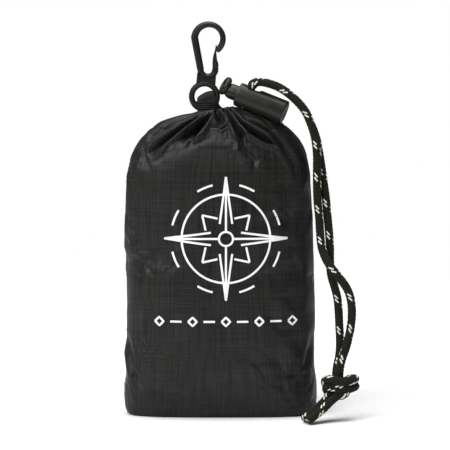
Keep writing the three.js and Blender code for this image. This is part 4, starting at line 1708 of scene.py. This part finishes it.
@dataclass
class SnapHook:
    """The moulded hook and its gate, in the hook's own leaning frame."""

    origin: tuple = (-9.7, 0.0, 194.3)
    lean: float = 3.94
    thickness: float = 4.0
    ring_radius: float = 9.5
    ring_hole: float = 6.0
    loop_radius: float = 10.57
    loop_height: float = 34.9
    loop_inner: tuple = (0.43, 35.2)
    loop_inner_radius: float = 6.63
    throat: tuple = (0.9, 16.2)
    throat_radius: float = 2.5
    pivot: tuple = (5.4, 19.0)
    heel: float = 1.9
    gap: float = 0.1
    nose_angle: float = -50.0
    gate_thickness: float = 3.2

    def placed(self, x: float, y: float, up: float) -> tuple:
        """Return the world place of a point of the hook's own frame.

        Args:
            x: Its place across the hook.
            y: Its place front to back.
            up: Its place along the hook.

        Returns:
            The place in metres.
        """
        lean = math.radians(self.lean)
        return (
            (self.origin[0] + x * math.cos(lean) + up * math.sin(lean)) * MM,
            (self.origin[1] + y) * MM,
            (self.origin[2] - x * math.sin(lean) + up * math.cos(lean)) * MM,
        )

    def bar_section(self, half: float, thick: float) -> list:
        """Return a bar's section: chamfered flanks, a narrow flat ridge and soft corners.

        Args:
            half: The bar's half width.
            thick: Its thickness.

        Returns:
            Pairs of place across and rise, once round.
        """
        t = thick / 2
        ridge = min(half * 0.34, 0.6)
        quarter = [(half, 0.2), (half * 0.985, 0.4), (half * 0.93, 0.62), (ridge + 0.12, t - 0.08), (ridge, t - 0.01),
                   (ridge * 0.75, t - 0.03), (ridge * 0.4, t - 0.14)]
        side = quarter + [(-x, y) for x, y in reversed(quarter)]
        return side + [(x, -y) for x, y in reversed(side)]

    def bar(self, name: str, line: list, halves: list, thick: float, closed: bool = False,
            end_at: Callable | None = None) -> bpy.types.Object:
        """Sweep a bar's section along a plane line.

        Args:
            name: The mesh's name.
            line: Points of the bar's middle, in the hook's frame.
            halves: Half width at each point.
            thick: The bar's thickness.
            closed: Whether it closes on itself.
            end_at: Gives the height of the last section's points from their place across.

        Returns:
            The bar.
        """
        plane = np.array(line, dtype=float)
        if closed:
            way = np.roll(plane, -1, axis=0) - np.roll(plane, 1, axis=0)
        else:
            way = np.gradient(plane, axis=0)
        way /= np.linalg.norm(way, axis=1)[:, None]
        side = np.column_stack([way[:, 1], -way[:, 0]])
        points = []
        for number, (place, across, half) in enumerate(zip(plane, side, halves)):
            for out, rise in self.bar_section(half, thick):
                x, up = place + across * out
                if end_at and number == len(plane) - 1:
                    up = end_at(x)
                points.append(self.placed(x, -rise, up))
        count = len(self.bar_section(1, thick))
        faces = grid_faces(len(plane), count, caps=not closed, ring=closed)
        made = mesh_object(name, points, faces, Finishes.PLASTIC.material())
        return recalculated(made)

    def cane(self) -> tuple:
        """Return the middle line and half widths of nose, round top, shank and the rim under the eye.

        Returns:
            The line's points and a half width for each.
        """
        outer_r, inner_r = self.loop_radius, self.loop_inner_radius
        line, halves = [], []
        for step in range(71):
            angle = math.radians(self.nose_angle + (180 - self.nose_angle) * step / 70)
            inner = max(angle, math.radians(-26))
            a, edge = (np.array([outer_r * math.cos(turn), self.loop_height + outer_r * math.sin(turn)])
                       for turn in (angle, inner))
            b = np.array(self.loop_inner) + inner_r * np.array([math.cos(inner), math.sin(inner)]) + a - edge
            line.append((a + b) / 2)
            blunt = math.sqrt(1 - (1 - min((step + 0.5) / 3.5, 1)) ** 2)
            halves.append(np.linalg.norm(a - b) / 2 * blunt)
        foot = np.array([self.throat[0] - self.throat_radius - 2.0, self.throat[1] + 0.4])
        self.lead(line, halves, foot, 2.1, 24)
        reach = self.throat_radius + 1.95
        for step in range(1, 25):
            angle = math.radians(180 + 180 * step / 24)
            share = step / 24
            line.append(np.array([self.throat[0] + reach * math.cos(angle),
                                  self.throat[1] + 0.4 * (1 - share) + (reach - 0.35) * math.sin(angle)]))
            halves.append(2.05 - 0.35 * math.sin(math.pi * share))
        limb = [(np.array([self.pivot[0] + 0.05, self.pivot[1] - below]), half)
                for below, half in ((3.4, 1.9), (self.heel, 1.82))]
        for end, half in limb:
            self.lead(line, halves, end, half, 4)
        return line, halves

    def lead(self, line: list, halves: list, end: np.ndarray, half: float, steps: int) -> None:
        """Carry a bar's line and half widths straight on to an end.

        Args:
            line: The line's points, which get more.
            halves: The half widths, which get more.
            end: Where it ends.
            half: Its half width there.
            steps: The number of points.
        """
        start, start_half = line[-1], halves[-1]
        for share in (step / steps for step in range(1, steps + 1)):
            line.append(start + (end - start) * share)
            halves.append(start_half + (half - start_half) * share)

    def seat(self, x: float) -> float:
        """Return the height of the gate's round seat above a place of the limb's end."""
        away = min(abs(x - self.pivot[0]), 1.8)
        return self.pivot[1] - math.sqrt((self.heel + self.gap) ** 2 - away**2)

    def body(self) -> bpy.types.Object:
        """Build the hook: cane, waist plate with its rims, and ring.

        Returns:
            The hook without its gate.
        """
        line, halves = self.cane()
        cane = self.bar("cane", line, halves, self.thickness, end_at=self.seat)
        middle = (self.ring_radius + self.ring_hole) / 2
        ring = self.bar("ring", arc((0, 0), middle, 0, 357, 119), [1.75] * 120, self.thickness, closed=True)
        rims = []
        for edge_top, edge_foot in (((-4.6, 14.2), (-4.9, 6.6)), ((5.5, 14.2), (5.4, 6.6))):
            steps = 8
            run = [tuple(np.array(edge_top) + (np.array(edge_foot) - np.array(edge_top)) * s / steps)
                   for s in range(steps + 1)]
            rims.append(self.bar("rim", run, [0.75] * len(run), self.thickness - 0.5))
        plate = self.plate()
        return joined("snap_hook_moulding", [cane, ring, *rims, plate])

    def plate(self) -> bpy.types.Object:
        """Build the recessed panel of the waist.

        Returns:
            The panel.
        """
        half = self.thickness / 2 - 0.85
        corners = [(-5.0, 7.6), (5.6, 7.6), (5.6, 13.9), (3.6, 13.2), (0.9, 12.4), (-2.2, 13.2), (-4.9, 14.4)]
        ends = [[self.placed(x, y, up) for x, up in corners] for y in (-half, half)]
        return prism("plate", ends, Finishes.PLASTIC.material(), smooth=False)

    def gate(self) -> bpy.types.Object:
        """Build the springy gate: a round heel and a tapering blade that ends inside the nose.

        Returns:
            The gate.
        """
        px, pz = self.pivot
        blade = [(px, pz - 0.9, 1.6), (px + 0.02, pz + 0.2, 1.84), (px - 0.3, pz + 1.9, 1.7),
                 (px - 0.6, pz + 3.4, 1.4), (px - 0.72, pz + 5.3, 1.14), (px - 0.7, pz + 7.2, 0.84),
                 (px - 0.62, pz + 8.8, 0.5), (px - 0.54, pz + 10.6, 0.34), (px - 0.45, pz + 12.2, 0.26), (px - 0.42, pz + 12.8, 0.16)]
        fine = catmull([(x, up, half) for x, up, half in blade], 0.4)
        made = self.bar("blade", [(x, up) for x, up, _ in fine], [h for _, _, h in fine], self.gate_thickness)
        heel = self.bar("heel", arc(self.pivot, 0.95, 0, 345, 23), [0.94] * 24, self.gate_thickness, closed=True)
        return joined("gate_moulding", [made, heel])

    def build(self) -> list:
        """Build the hook and its gate.

        Returns:
            The hook and the gate.
        """
        body, gate = self.body(), self.gate()
        for made, node, rider in ((body, "snap_hook", PACK), (gate, "hook_gate", GATE)):
            creased(made)
            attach(made, rider)
            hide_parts(node)
        return [body, gate]


# Cord lock


@dataclass
class CordLock:
    """The barrel cord lock: barrel with cord hole and notch, and plunger with its eye."""

    barrel_radius: float = 7.3
    barrel_length: float = 31.2
    bore: float = 5.7
    end: float = 1.8
    hole_reach: float = 6.5
    hole_half_width: float = 4.1
    hole_half_length: float = 2.2
    notch_radius: float = 8.0
    notch_depth: float = 1.8
    plunger_radius: float = 5.4
    plunger_length: float = 19.0
    neck_radius: float = 4.75
    neck_length: float = 7.9
    travel: float = 2.5
    eye_radius: float = 3.95
    eye_wire: float = 1.95
    eye_rise: float = 1.75
    eye_tilt: float = 11.0
    eye_turn: float = 20.0
    soft_edge: float = 0.22

    def place(self, made: bpy.types.Object) -> bpy.types.Object:
        """Move a mesh from the lock's own frame, Y along the barrel and Z up its hole, to where it is.

        Args:
            made: The piece, in millimetres.

        Returns:
            The same piece, in metres.
        """
        mouth, along, across, up = lock_frame()
        turn = Matrix((
            (across[0], along[0], up[0], mouth[0]),
            (across[1], along[1], up[1], mouth[1]),
            (across[2], along[2], up[2], mouth[2]),
            (0, 0, 0, 1),
        ))
        made.data.transform(Matrix.Diagonal((MM, MM, MM, 1)))
        made.data.transform(turn)
        return made

    def turned(self, name: str, profile: list, sides: int = 96) -> bpy.types.Object:
        """Turn a profile of radius and place along the barrel round its axis.

        Args:
            name: The mesh's name.
            profile: Pairs of radius and place along.
            sides: The number of sides.

        Returns:
            The turned piece.
        """
        points = []
        for radius, along in profile:
            points += [(radius * math.cos(a), along, radius * math.sin(a))
                       for a in (2 * math.pi * s / sides for s in range(sides))]
        faces = grid_faces(len(profile), sides, caps=True)
        return recalculated(mesh_object(name, points, faces, Finishes.PLASTIC.material()))

    def slot_cutter(self, half_y: float, reach: float, middle: float) -> bpy.types.Object:
        """Make a round-ended slot that cuts along Z.

        Args:
            half_y: Its half length along the barrel.
            reach: How far it cuts up and down.
            middle: Its place along the barrel.

        Returns:
            The cutter.
        """
        radius, outline = self.hole_half_length, []
        for start, (x, y) in zip((0, 90, 180, 270), ((1, 1), (-1, 1), (-1, -1), (1, -1))):
            corner = (x * (self.hole_half_width - radius), y * (half_y - radius) + middle)
            outline += arc(corner, radius, start, start + 90, 8)
        return prism("cutter", [[(x, y, z) for x, y in outline] for z in (-reach, reach)])

    def cut(self, made: bpy.types.Object, *cutters: bpy.types.Object) -> bpy.types.Object:
        """Cut other meshes out of one.

        Args:
            made: What is cut.
            cutters: Objects, which are used up.

        Returns:
            The piece, its edges softened.
        """
        for cutter in cutters:
            configured(made.modifiers.new("cut", "BOOLEAN"), operation="DIFFERENCE", solver="EXACT", object=cutter)
        configured(made.modifiers.new("soften", "BEVEL"), width=self.soft_edge, segments=2, limit_method="ANGLE",
                   angle_limit=math.radians(42))
        applied(made)
        for cutter in cutters:
            bpy.data.objects.remove(cutter)
        return made

    def barrel(self) -> bpy.types.Object:
        """Build the barrel.

        Returns:
            The barrel, in the lock's own frame.
        """
        r, length, edge = self.barrel_radius, self.barrel_length, 0.9
        floor = length - self.end
        profile = [(0.4, floor), (self.bore - 0.5, floor), (self.bore, floor - 0.5), (self.bore, 0.6),
                   (self.bore + 0.35, 0.12), (self.bore + 0.75, 0)]
        profile += [(r - 0.6, 0), (r - 0.2, 0.2), (r, 0.7), (r, 2.4), (r, length - edge)]
        profile += [(x, y) for x, y in ((r - edge + edge * math.cos(a), length - edge + edge * math.sin(a))
                                        for a in (math.radians(15 * k) for k in range(1, 7)))]
        profile += [(3.0, length), (2.8, length - 0.25), (0.4, length - 0.25)]
        made = self.turned("barrel_moulding", profile)
        return self.cut(made, self.slot_cutter(self.hole_half_length, 2 * r, self.hole_reach), self.scoop())

    def scoop(self) -> bpy.types.Object:
        """Make the round cutter of the notch where the cord leaves.

        Returns:
            The cutter.
        """
        middle = (self.hole_reach + self.notch_depth, self.barrel_radius + self.notch_radius - self.notch_depth)
        outline = arc(middle, self.notch_radius, 0, 354, 59)
        return prism("scoop", [[(x, y, z) for y, z in outline] for x in (-12.0, 12.0)])

    def plunger(self) -> bpy.types.Object:
        """Build the plunger.

        Returns:
            The plunger with its eye, in the lock's own frame.
        """
        n, neck = self.neck_radius, self.neck_length
        profile = [(0.3, -neck), (2.4, -neck), (3.2, -neck + 0.3), (4.0, -neck + 1.2), (4.5, -neck + 2.4),
                   (n, -neck + 3.6), (n, 0.5), (n, 0.8), (self.plunger_radius - 0.3, 0.8), (self.plunger_radius, 1.1),
                   (self.plunger_radius, self.plunger_length), (0.3, self.plunger_length)]
        made = self.turned("plunger_moulding", profile, 72)
        slot_end = self.hole_reach + self.hole_half_length
        slot_start = self.hole_reach - self.hole_half_length - self.travel - 0.2
        slot = self.slot_cutter((slot_end - slot_start) / 2, 2 * self.plunger_radius, (slot_start + slot_end) / 2)
        return joined("plunger_moulding", [self.cut(made, slot), self.eye()])

    def eye(self) -> bpy.types.Object:
        """Build the ring at the plunger's outer end.

        Returns:
            The ring, in the lock's own frame.
        """
        rounds, sides = 64, 20
        tilt, aside = math.radians(self.eye_tilt), math.radians(self.eye_turn)
        points = []
        for i in range(rounds):
            turn = 2 * math.pi * i / rounds
            for k in range(sides):
                roll = 2 * math.pi * k / sides
                out = self.eye_radius + self.eye_wire * math.cos(roll)
                deep, high = self.eye_wire * math.sin(roll), out * math.sin(turn)
                back = deep * math.cos(tilt) + high * math.sin(tilt)
                near = out * math.cos(turn)
                middle = -self.neck_length - self.eye_wire * 0.5
                points.append((near * math.cos(aside) - back * math.sin(aside),
                               middle + back * math.cos(aside) + near * math.sin(aside),
                               self.eye_rise + high * math.cos(tilt) - deep * math.sin(tilt)))
        faces = grid_faces(rounds, sides, ring=True)
        return recalculated(mesh_object("eye", points, faces, Finishes.PLASTIC.material()))

    def build(self) -> list:
        """Build barrel and plunger where the cord lock lies.

        Returns:
            The barrel and the plunger.
        """
        made = []
        barrel, plunger = self.barrel(), self.plunger()
        for piece, node, rider in ((barrel, "toggle_barrel", PACK), (plunger, "toggle_plunger", PLUNGER)):
            creased(self.place(piece))
            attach(piece, rider)
            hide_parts(node)
            made.append(piece)
        return made


def main() -> None:
    """Build and dress the whole object and its studio, piece by piece."""
    logging.basicConfig(level=logging.INFO, format="%(message)s")
    studio = Studio()
    studio.camera()
    made = Drawcord().build()
    pouch = Pouch()
    cloth = pouch.build()
    made += [cloth, *pouch.stitches(), CompassPrint().build(cloth), FoldedBackpack().build()]
    made += SnapHook().build()
    made += WebbingTab().build()
    made += CordLock().build()
    studio.light()
    for piece in made:
        log.info("%s: %d faces", piece.name, len(piece.data.polygons))


if __name__ == "__main__":
    main()
